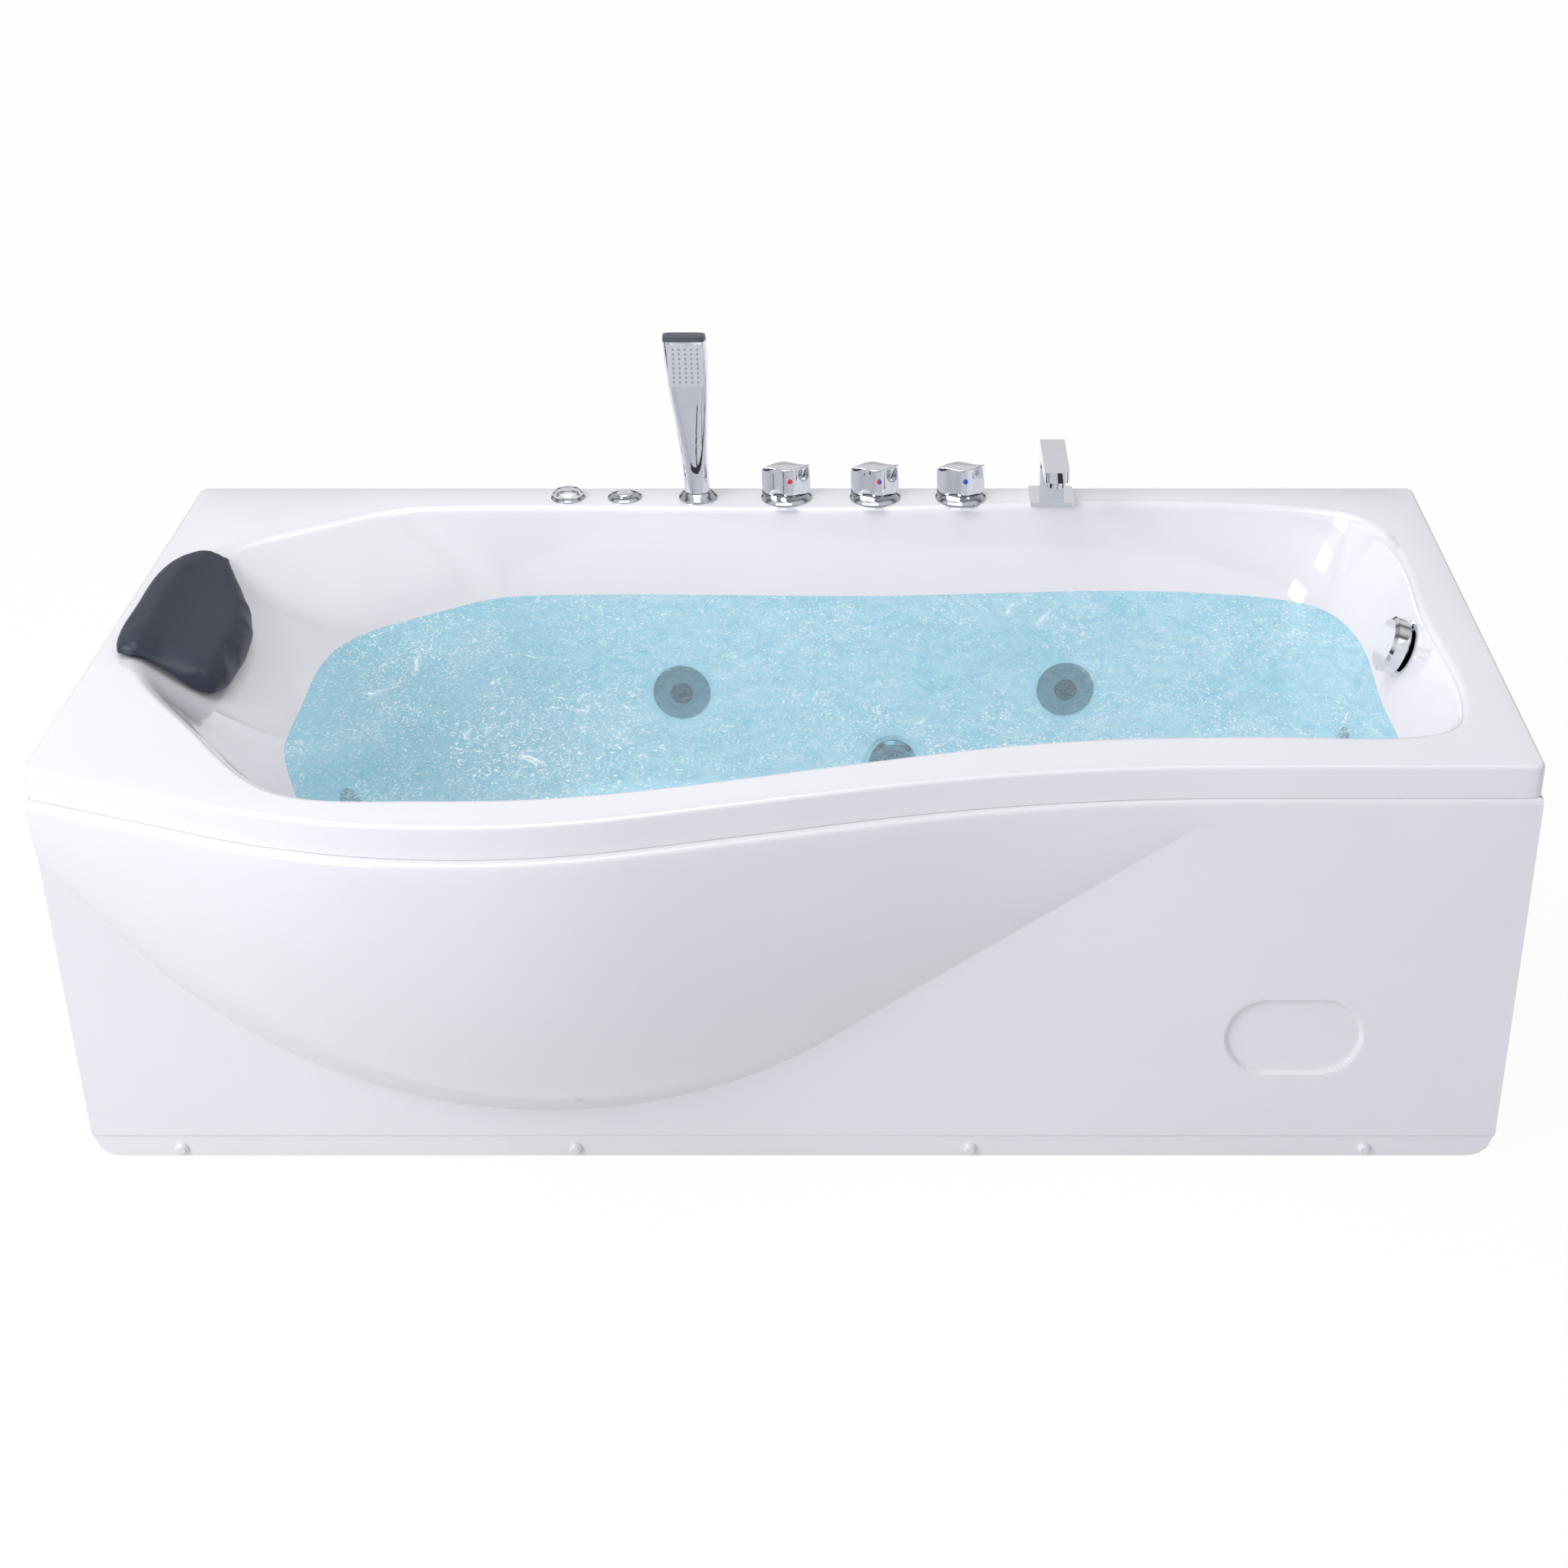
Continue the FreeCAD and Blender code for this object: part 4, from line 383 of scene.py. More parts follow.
markRed, markBlue = (0.75, 0.015, 0.012), (0.01, 0.06, 0.6)
finishes = {
    "acrylic": plainFinish("acrylic", (0.86, 0.86, 0.88), roughness=0.09, coat=0.6),
    "cap_white": plainFinish("capWhite", (0.82, 0.82, 0.84), roughness=0.25),
    "chrome": plainFinish("chrome", (0.8, 0.82, 0.85), metallic=1.0, roughness=0.035),
    # the next three chrome finishes are painted darker: painted shade on the fittings under the water and in the
    # jet nozzles, painted dark reflections on the bases on the deck
    "shaded_underwater_chrome": plainFinish("shadedUnderwaterChrome", (0.27, 0.3, 0.33), metallic=1.0, roughness=0.1),
    "dark_chrome": plainFinish("shadedNozzleChrome", (0.035, 0.045, 0.06), metallic=1.0, roughness=0.06),
    "dark_reflection_chrome": plainFinish("darkReflectionChrome", (0.46, 0.48, 0.52), metallic=1.0, roughness=0.05),
    "smoked_chrome": plainFinish("smokedChrome", (0.1, 0.12, 0.15), metallic=1.0, roughness=0.08),
    "satin_metal": plainFinish("sprayFace", (0.66, 0.68, 0.72), metallic=0.35, roughness=0.3),
    "zinc": mottled("zinc", (0.6, 0.61, 0.62), (0.45, 0.46, 0.48), 160, 0.9, 0.35),
    "frame_steel": mottled("galvanised", (0.52, 0.54, 0.56), (0.38, 0.4, 0.42), 90, 0.85, 0.42),
    "brass": mottled("brass", (0.72, 0.52, 0.22), (0.58, 0.4, 0.15), 60, 1.0, 0.28),
    "board": mottled("board", (0.55, 0.38, 0.2), (0.42, 0.28, 0.14), 35, 0.0, 0.7),
    "white_plastic": plainFinish("pipeWhite", (0.78, 0.78, 0.76), roughness=0.35),
    "dark_plastic": plainFinish("plasticDark", (0.025, 0.025, 0.028), roughness=0.4),
    "motor_grey": plainFinish("motorGrey", (0.09, 0.11, 0.14), metallic=0.2, roughness=0.45),
    "mark_red": plainFinish("markRed", markRed, roughness=0.2, coat=0.5),
    "mark_violet": twoTone("markBoth", markRed, markBlue, middleOf("dot_divert").x),
    "mark_blue": plainFinish("markBlue", markBlue, roughness=0.2, coat=0.5),
    "spray_nozzle": plainFinish("sprayNozzle", (0.3, 0.32, 0.36), roughness=0.35),
    "label_plate": plainFinish("labelPlate", (0.74, 0.75, 0.8), roughness=0.25),
    "head_rest_cover": plainFinish(
        "headRestSkin", (0.023, 0.03, 0.052), roughness=0.42, grain=(650, 0.35, 0.0006)
    ),
}
slotOf = {entry["node"]: entry["material_slot"] for entry in frame["record"]["subparts"]}


def newTree(name, inputs):
    # a geometry node group whose inputs are given by name and type
    tree = bpy.data.node_groups.new(name, "GeometryNodeTree")
    for words, kind in inputs.items():
        tree.interface.new_socket(name=words, in_out="INPUT", socket_type="NodeSocket" + kind)
    tree.interface.new_socket(name="Geometry", in_out="OUTPUT", socket_type="NodeSocketGeometry")
    return tree, tree.nodes, tree.nodes.new("NodeGroupInput"), tree.nodes.new("NodeGroupOutput")


def softEdgesTree():
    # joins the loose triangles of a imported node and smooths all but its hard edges
    tree, nodes, start, end = newTree("softEdges", {"Geometry": "Geometry", "Angle": "Float"})
    merge = addNode(nodes, "GeometryNodeMergeByDistance", Distance=1e-5)
    smoothFaces = addNode(nodes, "GeometryNodeSetShadeSmooth", {"domain": "FACE"}, Shade_Smooth=True)
    hardEdges = addNode(nodes, "GeometryNodeSetShadeSmooth", {"domain": "EDGE"}, Shade_Smooth=False)
    angle = nodes.new("GeometryNodeInputMeshEdgeAngle")
    sharper = addNode(nodes, "FunctionNodeCompare", {"operation": "GREATER_THAN"})
    wire(
        (start, "Geometry", merge, "Geometry"), (merge, "Geometry", smoothFaces, "Geometry"),
        (smoothFaces, "Geometry", hardEdges, "Geometry"), (angle, "Unsigned Angle", sharper, "A"),
        (start, "Angle", sharper, "B"), (sharper, "Result", hardEdges, "Selection"),
        (hardEdges, "Geometry", end, "Geometry"),
    )
    return tree


softEdges = softEdgesTree()


def inputName(tree, words):
    return next(i.identifier for i in tree.interface.items_tree if i.name == words and i.in_out == "INPUT")


def soften(piece, degrees=32):
    # the angle is set by the socket's own identifier
    modifier = piece.modifiers.new("softEdges", "NODES")
    modifier.node_group = softEdges
    modifier[inputName(softEdges, "Angle")] = math.radians(degrees)


# chrome nodes darker than their slot: painted shade on the fittings under the water, painted dark reflections on
# the collars and bases on the deck, and a tinted cap on the hand shower
darker = {
    "jet_flanges": "shaded_underwater_chrome", "suction_cover": "shaded_underwater_chrome", "drain_flange": "shaded_underwater_chrome",
    "knob_flanges": "dark_reflection_chrome", "shower_collar": "dark_reflection_chrome", "air_regulator_base": "dark_reflection_chrome",
    "pump_button_base": "dark_reflection_chrome", "hand_shower_cap": "smoked_chrome",
}
for name, node in cad.items():
    # the jet nozzles get near-black chrome: painted shade
    isNozzle = name.startswith("jet_nozzle_")
    for slot in node.material_slots:
        slot.material = finishes["dark_chrome" if isNozzle else darker.get(name, slotOf[name])]
    soften(node)
print("finishes set:", len(finishes))


# the shell, made again from the same rule as the part's, on a finer mesh
basin = {
    "deckBack": 75, "deckFoot": 65, "deckHead": 48, "deckFront": 76, "deckBow": 64,
    "depth": 405, "headRecline": 340, "footSlope": 130, "backSlope": 90, "frontSlope": 125,
    "roll": 10, "wall": 9, "around": 320, "down": 84, "skinTop": 12, "thickFrom": 0.64, "thickOver": 0.25,
}
# share of the depth, then shares of the slopes at the head, foot, back and front
basinLevels = [
    (-0.04, -0.06, -0.04, -0.04, -0.04),
    (0.00, 0.00, 0.00, 0.00, 0.00),
    (0.30, 0.50, 0.31, 0.28, 0.28),
    (0.64, 0.74, 0.48, 0.40, 0.48),
    (0.89, 0.86, 0.66, 0.58, 0.66),
    (0.975, 0.93, 0.85, 0.80, 0.85),
    (1.00, 1.00, 1.00, 1.00, 1.00),
]


def basinLine(shares, count):
    head, foot, back, front = shares
    left = tub["head"] + basin["deckHead"] + basin["headRecline"] * head
    right = tub["foot"] - basin["deckFoot"] - basin["footSlope"] * foot
    far = tub["back"] - basin["deckBack"] - basin["backSlope"] * back
    inwards = basin["frontSlope"] * front
    near = tub["front"] + basin["deckFront"] + inwards
    bow = tub["front"] - tub["bowOut"] + basin["deckBow"] + inwards
    bowX, depth, soft = tub["bowPlace"], far - bow, 1 + front
    return splineOutline([  # x, y and radius of each corner
        (right, far, 105 * soft),
        (left + 0.15 * (right - left), far, 150),
        (left, far - 0.19 * depth, 170),
        (left, far - 0.60 * depth, 210),
        (bowX - 210 + 0.22 * (left - tub["head"] - basin["deckHead"]), bow, 150),
        (bowX + 107, bow, 900 * (1 - 0.5 * front)),
        (bowX + 107 + (near - bow) / 0.263, near, 1200),
        (right, near, 75 * soft),
    ], count)


class BasinWall:
    # rings of the basin wall, read at any depth
    def __init__(self):
        rings = []
        for share, *slopes in basinLevels:
            line = basinLine(slopes, basin["around"])
            level = np.full((len(line), 1), tub["rim"] - basin["depth"] * share)
            rings.append(np.hstack([line, level]))
        self.rings = np.array(rings)
        steps = np.linalg.norm(np.diff(self.rings, axis=0), axis=2).mean(axis=1)
        self.knots = np.concatenate([[0], np.cumsum(steps)])
        self.fine = np.linspace(0, self.knots[-1], 4001)
        self.levels = naturalSpline(self.knots, self.rings[:, 0, 2], self.fine)

    def at(self, places):
        return naturalSpline(self.knots, self.rings, places)

    def placeOf(self, level):
        return float(np.interp(-level, -self.levels, self.fine))


wall = BasinWall()


class Rings:
    # closed rings of points joined by bands of faces
    def __init__(self):
        self.points, self.faces = [], []

    def add(self, ring):
        start = len(self.points)
        self.points.extend(tuple(p) for p in ring)
        return list(range(start, len(self.points)))

    def band(self, above, below):
        count = len(above)
        for i in range(count):
            j = (i + 1) % count
            self.faces.append((above[i], above[j], below[j], below[i]))

    def stack(self, rings):
        made = [self.add(ring) for ring in rings]
        for above, below in zip(made, made[1:]):
            self.band(above, below)
        return made


def level(line, z):
    return np.hstack([line[:, :2], np.full((len(line), 1), z)])


def shifted(line, out):
    return line[:, :2] + outwards(line[:, :2]) * out


def makeShell():
    rim, depth, roll = tub["rim"], basin["depth"], basin["roll"]
    rings = Rings()
    inside = []
    for share in np.linspace(0, 1, 9):
        ring = wall.at(wall.placeOf(rim - roll * share ** 2))[0]
        inside.append(level(shifted(ring, roll * (1 - share) ** 2), ring[0, 2] if share else rim))
    places = np.linspace(wall.placeOf(rim - roll), wall.knots[-1], basin["down"])[1:]
    inside += list(wall.at(places))
    inner = rings.stack(inside)
    rings.faces.append(tuple(inner[-1]))
    outside = [level(shifted(wall.rings[1], basin["wall"]), rim - tub["wall"])]
    top = wall.placeOf(rim - basin["skinTop"])
    for ring in wall.at(np.linspace(top, wall.knots[-1], basin["down"] // 2)):
        # the floor is as thick as the deck
        share = np.clip(((rim - ring[0, 2]) / depth - basin["thickFrom"]) / basin["thickOver"], 0, 1)
        outside.append(level(shifted(ring, basin["wall"]), ring[0, 2] - tub["wall"] * share))
    outer = rings.stack(outside)
    rings.faces.append(tuple(reversed(outer[-1])))
    line = rimOutline(9)
    edge = tub["rimEdge"]
    lip = [level(line, rim - tub["lip"])]
    for k in range(6):
        turn = math.pi / 2 * k / 5
        lip.append(level(shifted(line, -edge * (1 - math.cos(turn))), rim - edge * (1 - math.sin(turn))))
    lipRings = rings.stack(lip)
    inset = shifted(line, -tub["wall"])
    under = rings.stack([level(inset, rim - tub["lip"]), level(inset, rim - tub["wall"])])
    rings.band(lipRings[0], under[0])
    mesh = meshOf("shellSkin", np.array(rings.points) * mm, rings.faces)
    with editing(mesh) as work:
        work.verts.ensure_lookup_table()
        for pair in ((lipRings[-1], inner[0]), (under[-1], outer[0])):  # deck, then its underside
            sides = [side for ring in pair for side in zip(ring, ring[1:] + ring[:1])]
            edges = [work.edges.get((work.verts[a], work.verts[b])) for a, b in sides]
            bmesh.ops.triangle_fill(work, edges=edges, use_beauty=True)
        bmesh.ops.recalc_face_normals(work, faces=work.faces)
    return makeObject("shell", mesh, finishes["acrylic"])


def cutters(name, holes):
    # one round cutter per hole: its radius, its two ends and its place
    mesh = bpy.data.meshes.new(name)
    with editing(mesh) as work:
        for radius, low, high, spot in holes:
            wide = radius * mm
            made = bmesh.ops.create_cone(
                work, cap_ends=True, segments=96, radius1=wide, radius2=wide, depth=(high - low) * mm
            )
            move = spot @ Matrix.Translation((0, 0, (high + low) / 2 * mm))
            bmesh.ops.transform(work, matrix=move, verts=made["verts"])
    return makeObject(name, mesh)


def booleanBy(piece, tool, operation):
    modifier = piece.modifiers.new(operation, "BOOLEAN")
    modifier.object = tool
    modifier.operation = operation
    modifier.solver = "EXACT"
    keepModifiers(piece)
    bpy.data.objects.remove(tool)


def seatOf(node, near=None, reach=0.06):
    # where a round fitting stands on the wall, with its Z axis into the basin
    place = node.matrix_world
    faces = [f for f in node.data.polygons if near is None or (place @ f.center - near).length < reach]
    flats = {}
    for face in faces:
        # faces that look the same way from the same plane
        key = tuple(round(value, 1) for value in (*face.normal, face.center.dot(face.normal) * 100))
        flats.setdefault(key, []).append(face)
    flat = max(flats.values(), key=lambda group: sum(f.area for f in group))
    normal = -sum((f.normal * f.area for f in flat), Vector()).normalized()
    turn = normal.to_track_quat("Z", "Y").to_matrix().to_4x4()
    spots = [turn.inverted() @ place @ node.data.vertices[i].co for f in flat for i in f.vertices]
    middle = Vector([(min(s[a] for s in spots) + max(s[a] for s in spots)) / 2 for a in range(3)])
    return turn @ Matrix.Translation(middle)


print("tools ready")

jets = [joint for joint in frame["joints"] if joint["child"].startswith("nozzle_")]
seats = [seatOf(cad["jet_flanges"], Vector(jet["pos_m"])) for jet in jets]
seats += [seatOf(cad["suction_cover"]), seatOf(cad["overflow_flange"])]
# the round cuts in the wall and in the deck, as in the part
fittings = {
    "seat": 41, "boss": 46, "neck": 25, "body": 33.5, "drain": 25, "deckNeck": 14.4, "deckGuide": 16.4,
    "deckNecks": (
        "air_regulator_base", "pump_button_base", "spout_base", "knob_hot", "knob_divert", "knob_cold",
    ),
}


def cutShell(piece):
    thick = basin["wall"]
    bosses = [(fittings["boss"], -thick, -0.4, seat) for seat in seats]
    recesses = [(fittings["seat"], 0, 14, seat) for seat in seats]
    holes = [(fittings["neck"], -20, 1, seat) for seat in seats]
    holes.append((fittings["drain"], -60, 60, Matrix.Translation(middleOf("drain_flange"))))
    for node in fittings["deckNecks"]:
        holes.append((fittings["deckNeck"], -60, 12, Matrix.Translation(middleOf(node))))
    holes.append((fittings["deckGuide"], -60, 12, Matrix.Translation(middleOf("shower_collar"))))
    backs = [(fittings["body"], -3 * thick, -thick, seat) for seat in seats]
    booleanBy(piece, cutters("bosses", bosses), "UNION")
    for name, places in (("recesses", recesses), ("holes", holes), ("backs", backs)):
        booleanBy(piece, cutters(name, places), "DIFFERENCE")
    sharpen(piece.data)


shell = makeShell()
cutShell(shell)
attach(shell, "tub")
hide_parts("tub_shell")
print("shell made:", len(shell.data.polygons), "faces")


# the skirt, with its hull, its crease and its pressed oval
skirt = {
    "top": 499.5, "edge": 6, "sheet": 5, "proud": 4, "hullProud": 12, "clearance": 2,
    "band": 34, "bandStep": 2, "creaseTop": 30, "corner": 32, "return": 60,
    "keelLevel": 72, "keelPlace": -290, "keelRadius": 590, "keelSlopeHead": 1.29, "keelSlopeFoot": 0.69,
    "portX": 595, "portZ": 177, "portLength": 164, "portHeight": 108, "portDepth": 5, "portRamp": 4.5,
    "portMargin": 8, "columns": (176, 72, 22), "bulgeRows": 40, "wallRows": 120, "poles": (0.55, 0.32, 0.12),
}
skirtFlat = tub["front"] - skirt["proud"]
skirtBow = Bow(skirtFlat, tub["bowOut"] + skirt["hullProud"] - skirt["proud"])


def creaseAt(x):
    low = valley(x, skirt["keelPlace"], skirt["keelLevel"], skirt["keelRadius"],
                 skirt["keelSlopeHead"], skirt["keelSlopeFoot"])
    return min(low, skirt["top"] - skirt["edge"] - skirt["creaseTop"])


def smoothStep(value):
    value = np.clip(value, 0, 1)
    return value * value * (3 - 2 * value)


def portDip(x, z):
    # how far the pressed oval goes in at a place on the skirt
    half, tall = skirt["portLength"] / 2, skirt["portHeight"] / 2
    reach = math.hypot(max(abs(x - skirt["portX"]) - (half - tall), 0), z - skirt["portZ"]) - tall
    return skirt["portDepth"] * float(smoothStep(-reach / skirt["portRamp"]))


def skirtColumn(x):
    # the outside of the skirt at x, from the flange under the lip down to the floor
    fold, low, top = skirtBow.y(x), creaseAt(x), skirt["top"] - skirt["edge"]
    edge, flat = skirt["edge"], skirtFlat
    column = [(rimBow.y(x) + tub["wall"] + 1, skirt["top"]), (fold + edge, skirt["top"])]
    for k in range(1, 6):
        turn = math.pi / 2 * k / 5
        column.append((fold + edge - edge * math.sin(turn), skirt["top"] - edge + edge * math.cos(turn)))
    fall, bulge = top - low, flat - fold
    down, out, up = skirt["poles"]
    poles = [(fold, top), (fold, top - down * fall), (flat - out * bulge, low + up * fall), (flat, low)]
    for t in np.linspace(0, 1, skirt["bulgeRows"] + 1)[1:]:
        weights = (1 - t) ** 3, 3 * t * (1 - t) ** 2, 3 * t * t * (1 - t), t ** 3
        column.append(tuple(sum(w * p[a] for w, p in zip(weights, poles)) for a in (0, 1)))
    band = skirt["band"]
    for z in np.linspace(low, band, skirt["wallRows"] + 1)[1:]:
        column.append((flat + portDip(x, z), z))
    column.append((flat + skirt["bandStep"], band - skirt["bandStep"]))
    column += [(flat + skirt["bandStep"], skirt["clearance"] + k * 5) for k in (5, 4, 3, 2, 1, 0)]
    return [(x, y, z) for y, z in column]


def makeSkirt():
    # columns stand closer together across the pressed oval
    half = skirt["portLength"] / 2 + skirt["portMargin"]
    left, right = skirt["portX"] - half, skirt["portX"] + half
    before, across, beyond = skirt["columns"]
    columns = np.concatenate([
        np.linspace(tub["head"], left, before)[:-1],
        np.linspace(left, right, across),
        np.linspace(right, tub["foot"], beyond)[1:],
    ])
    grid = [skirtColumn(float(x)) for x in columns]
    rows = len(grid[0])
    corner, clearance = skirt["corner"], skirt["clearance"]
    points = []
    for column in grid:
        fromEnd = min(column[0][0] - tub["head"], tub["foot"] - column[0][0])
        lift = 0.0
        if fromEnd < corner:
            lift = corner - math.sqrt(corner ** 2 - (corner - fromEnd) ** 2)
        points += [(x, y, max(z, clearance + lift)) for x, y, z in column]
    faces = []
    for i in range(len(grid) - 1):
        for k in range(rows - 1):
            a = i * rows + k
            faces.append((a, a + 1, a + rows + 1, a + rows))
    mesh = meshOf("skirtSkin", np.array(points) * mm, faces)
    tidyMesh(mesh, 1e-6)
    piece = makeObject("skirt", mesh, finishes["acrylic"])
    solid = piece.modifiers.new("sheet", "SOLIDIFY")
    solid.thickness = skirt["sheet"] * mm
    solid.offset = -1
    keepModifiers(piece)
    return piece


def joined(pieces):
    # several pieces made one object, the first one's name kept
    with editing(pieces[0].data) as work:
        for piece in pieces[1:]:
            work.from_mesh(piece.data)
    for piece in pieces[1:]:
        bpy.data.objects.remove(piece)
    return pieces[0]


def slab(name, low, high, bevel):
    # a block between two corners, in millimetres
    low, high = Vector(low) * mm, Vector(high) * mm
    mesh = bpy.data.meshes.new(name)
    move = Matrix.Translation((low + high) / 2) @ Matrix.Diagonal((*(high - low), 1))
    with editing(mesh) as work:
        bmesh.ops.create_cube(work, size=1)
        bmesh.ops.transform(work, matrix=move, verts=work.verts)
        bmesh.ops.bevel(work, geom=work.edges[:], offset=bevel * mm, segments=3, affect="EDGES", profile=0.5)
    return makeObject(name, mesh)


skirtPieces = [makeSkirt()]
for side in (-1, 1):
    across = sorted((side * (tub["foot"] - 0.1), side * (tub["foot"] - skirt["sheet"])))
    along = skirtFlat + skirt["sheet"] - 2.5, tub["front"] + skirt["return"]
    upright = skirt["clearance"] + skirt["corner"] - 4, skirt["top"]
    skirtPieces.append(slab("return", *zip(across, along, upright), 0.6))
skirtFace = joined(skirtPieces)
sharpen(skirtFace.data)
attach(skirtFace, "tub")
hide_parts("front_apron")
print("skirt made:", len(skirtFace.data.polygons), "faces")


# the head rest, a pad over the edge of the basin
headRest = {
    "middle": 94, "half": 161, "flap": 25, "thick": 26, "drop": 61, "gap": 2.2, "arch": 5,
    "stations": 60, "around": 56, "endRound": 7, "voxel": 4.5, "swell": 3.5, "pressure": 4, "frames": 20,
}
# places along it, then how plump it is and how far it falls there
headRestShape = [
    (-1, 0.58, 0.8), (-0.93, 0.84, 0.88), (-0.75, 1, 0.97), (-0.35, 1, 1), (0.05, 1, 0.97),
    (0.35, 0.95, 0.84), (0.6, 0.82, 0.61), (0.8, 0.62, 0.38), (0.93, 0.38, 0.22), (1, 0.2, 0.14),
]


def wallX(y, z):
    # the head-end wall of the basin at a level
    ring = wall.at(wall.placeOf(min(z, tub["rim"])))[0]
    ring = ring[ring[:, 0] < -300]
    ring = ring[np.argsort(ring[:, 1])]
    return float(np.interp(y, ring[:, 1], ring[:, 0]))


def headRestSection(share, count):
    # a flap on the deck, a crest, and a pad down the back rest
    places = np.array(headRestShape)
    plump, fall = (float(np.interp(share, places[:, 0], places[:, k])) for k in (1, 2))
    y = headRest["middle"] + headRest["half"] * share
    deck, gap, thick = tub["rim"], headRest["gap"], headRest["thick"] * plump
    arch = headRest["arch"] * float(smoothStep((-share - 0.72) / 0.28))
    drop = headRest["drop"] * fall
    edge, middle, low = wallX(y, deck - 0.5), wallX(y, deck - drop / 2), wallX(y, deck - drop)
    flap = headRest["flap"] * (0.55 + 0.45 * plump)
    points = [
        (edge - flap, deck + gap), (edge - 9, deck + gap + arch), (edge + 6 + gap, deck - 3 + arch),
        (middle + 1.5 * gap, deck - drop / 2 + gap + 0.5 * arch), (low + 1.5 * gap, deck - drop + gap),
        (low + 0.50 * thick, deck - drop + 0.05 * thick), (low + 0.8 * thick, deck - drop + 0.62 * thick),
        (middle + 0.66 * thick, deck - drop / 2 + 0.72 * thick), (edge + 0.30 * thick, deck + 0.60 * thick),
        (edge - 0.10 * thick, deck + 0.86 * thick), (edge - 0.45 * flap, deck + 0.76 * thick + gap),
        (edge - flap - 2, deck + 0.3 * thick + gap),
    ]
    ring = closedSpline(points, count)
    return np.stack([ring[:, 0], np.full(count, y), ring[:, 1]], axis=1)


def headRestSkin():
    # the ends round off: the last sections shrink towards their own middle
    rings = Rings()
    shares = np.sin(np.linspace(-math.pi / 2, math.pi / 2, headRest["stations"]))
    made = []
    for share in shares:
        ring = headRestSection(float(share), headRest["around"])
        fromEnd = headRest["half"] * (1 - abs(share))
        size = math.sqrt(max(0.02, 1 - max(0, 1 - fromEnd / headRest["endRound"]) ** 2))
        middle = ring.mean(axis=0)
        made.append(middle + (ring - middle) * (0.35 + 0.65 * size))
    rows = rings.stack(made)
    rings.faces += [tuple(rows[0]), tuple(reversed(rows[-1]))]
    mesh = meshOf("headRestSkin", np.array(rings.points) * mm, rings.faces)
    tidyMesh(mesh)
    return mesh


def padOut(piece, pinned):
    # swells the pad a little by cloth pressure; its underside stays on the shell
    before = [v.co.copy() for v in piece.data.vertices]
    group = piece.vertex_groups.new(name="pinned")
    group.add([v.index for v in piece.data.vertices if v.normal.dot(pinned) > 0.3], 1.0, "REPLACE")
    cloth = piece.modifiers.new("padding", "CLOTH")
    cloth.settings.vertex_group_mass = "pinned"
    cloth.settings.use_pressure = True
    cloth.settings.uniform_pressure_force = headRest["pressure"]
    cloth.settings.effector_weights.gravity = 0
    cloth.point_cache.frame_start, cloth.point_cache.frame_end = 1, headRest["frames"]
    for step in range(1, headRest["frames"] + 1):
        bpy.context.scene.frame_set(step)
    keepModifiers(piece)
    bpy.context.scene.frame_set(1)
    cap = headRest["swell"] * mm
    for point, start in zip(piece.data.vertices, before):
        move = point.co - start
        if move.length > cap:
            point.co = start + move * (cap / move.length)
    piece.vertex_groups.clear()


def makeHeadRest():
    piece = makeObject("headRest", headRestSkin(), finishes["head_rest_cover"])
    remesh = piece.modifiers.new("remesh", "REMESH")
    remesh.mode = "VOXEL"
    remesh.voxel_size = headRest["voxel"] * mm
    piece.modifiers.new("relax", "SMOOTH").iterations = 2
    keepModifiers(piece)
    padOut(piece, Vector((-0.6, 0, -0.8)))
    piece.modifiers.new("settle", "SMOOTH").iterations = 5
    finer = piece.modifiers.new("finer", "SUBSURF")
    finer.levels = finer.render_levels = 1
    keepModifiers(piece)
    piece.data.polygons.foreach_set("use_smooth", [True] * len(piece.data.polygons))
    return piece


pad = makeHeadRest()
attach(pad, "head_rest")
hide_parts("headrest_pillow")
print("head rest made:", len(pad.data.polygons), "faces")


# the nozzles on the plate of the hand shower
spray = {"columns": 5, "rows": 8, "stepX": 8.2, "stepZ": 6.6, "radius": 1.5, "height": 1.1}


def nozzleTree():
    # a grid of small tapered nozzles across a plate
    tree, nodes, start, end = newTree("nozzles", {
        "Geometry": "Geometry", "Width": "Float", "Height": "Float", "Radius": "Float", "Rise": "Float",
        "Columns": "Int", "Rows": "Int", "Finish": "Material",
    })
    grid, cone = nodes.new("GeometryNodeMeshGrid"), addNode(nodes, "GeometryNodeMeshCone", Vertices=16)
    spread, real = nodes.new("GeometryNodeInstanceOnPoints"), nodes.new("GeometryNodeRealizeInstances")
    finish, top = nodes.new("GeometryNodeSetMaterial"), mathNode(nodes, "MULTIPLY", None, 0.7)
    wire(
        (start, "Width", grid, "Size X"), (start, "Height", grid, "Size Y"),
        (start, "Columns", grid, "Vertices X"), (start, "Rows", grid, "Vertices Y"),
        (start, "Radius", cone, "Radius Bottom"), (start, "Radius", top, 0),
        (top, "Value", cone, "Radius Top"), (start, "Rise", cone, "Depth"),
        (grid, "Mesh", spread, "Points"), (cone, "Mesh", spread, "Instance"),
        (spread, "Instances", real, "Geometry"), (real, "Geometry", finish, "Geometry"),
        (start, "Finish", finish, "Material"), (finish, "Geometry", end, "Geometry"),
    )
    return tree


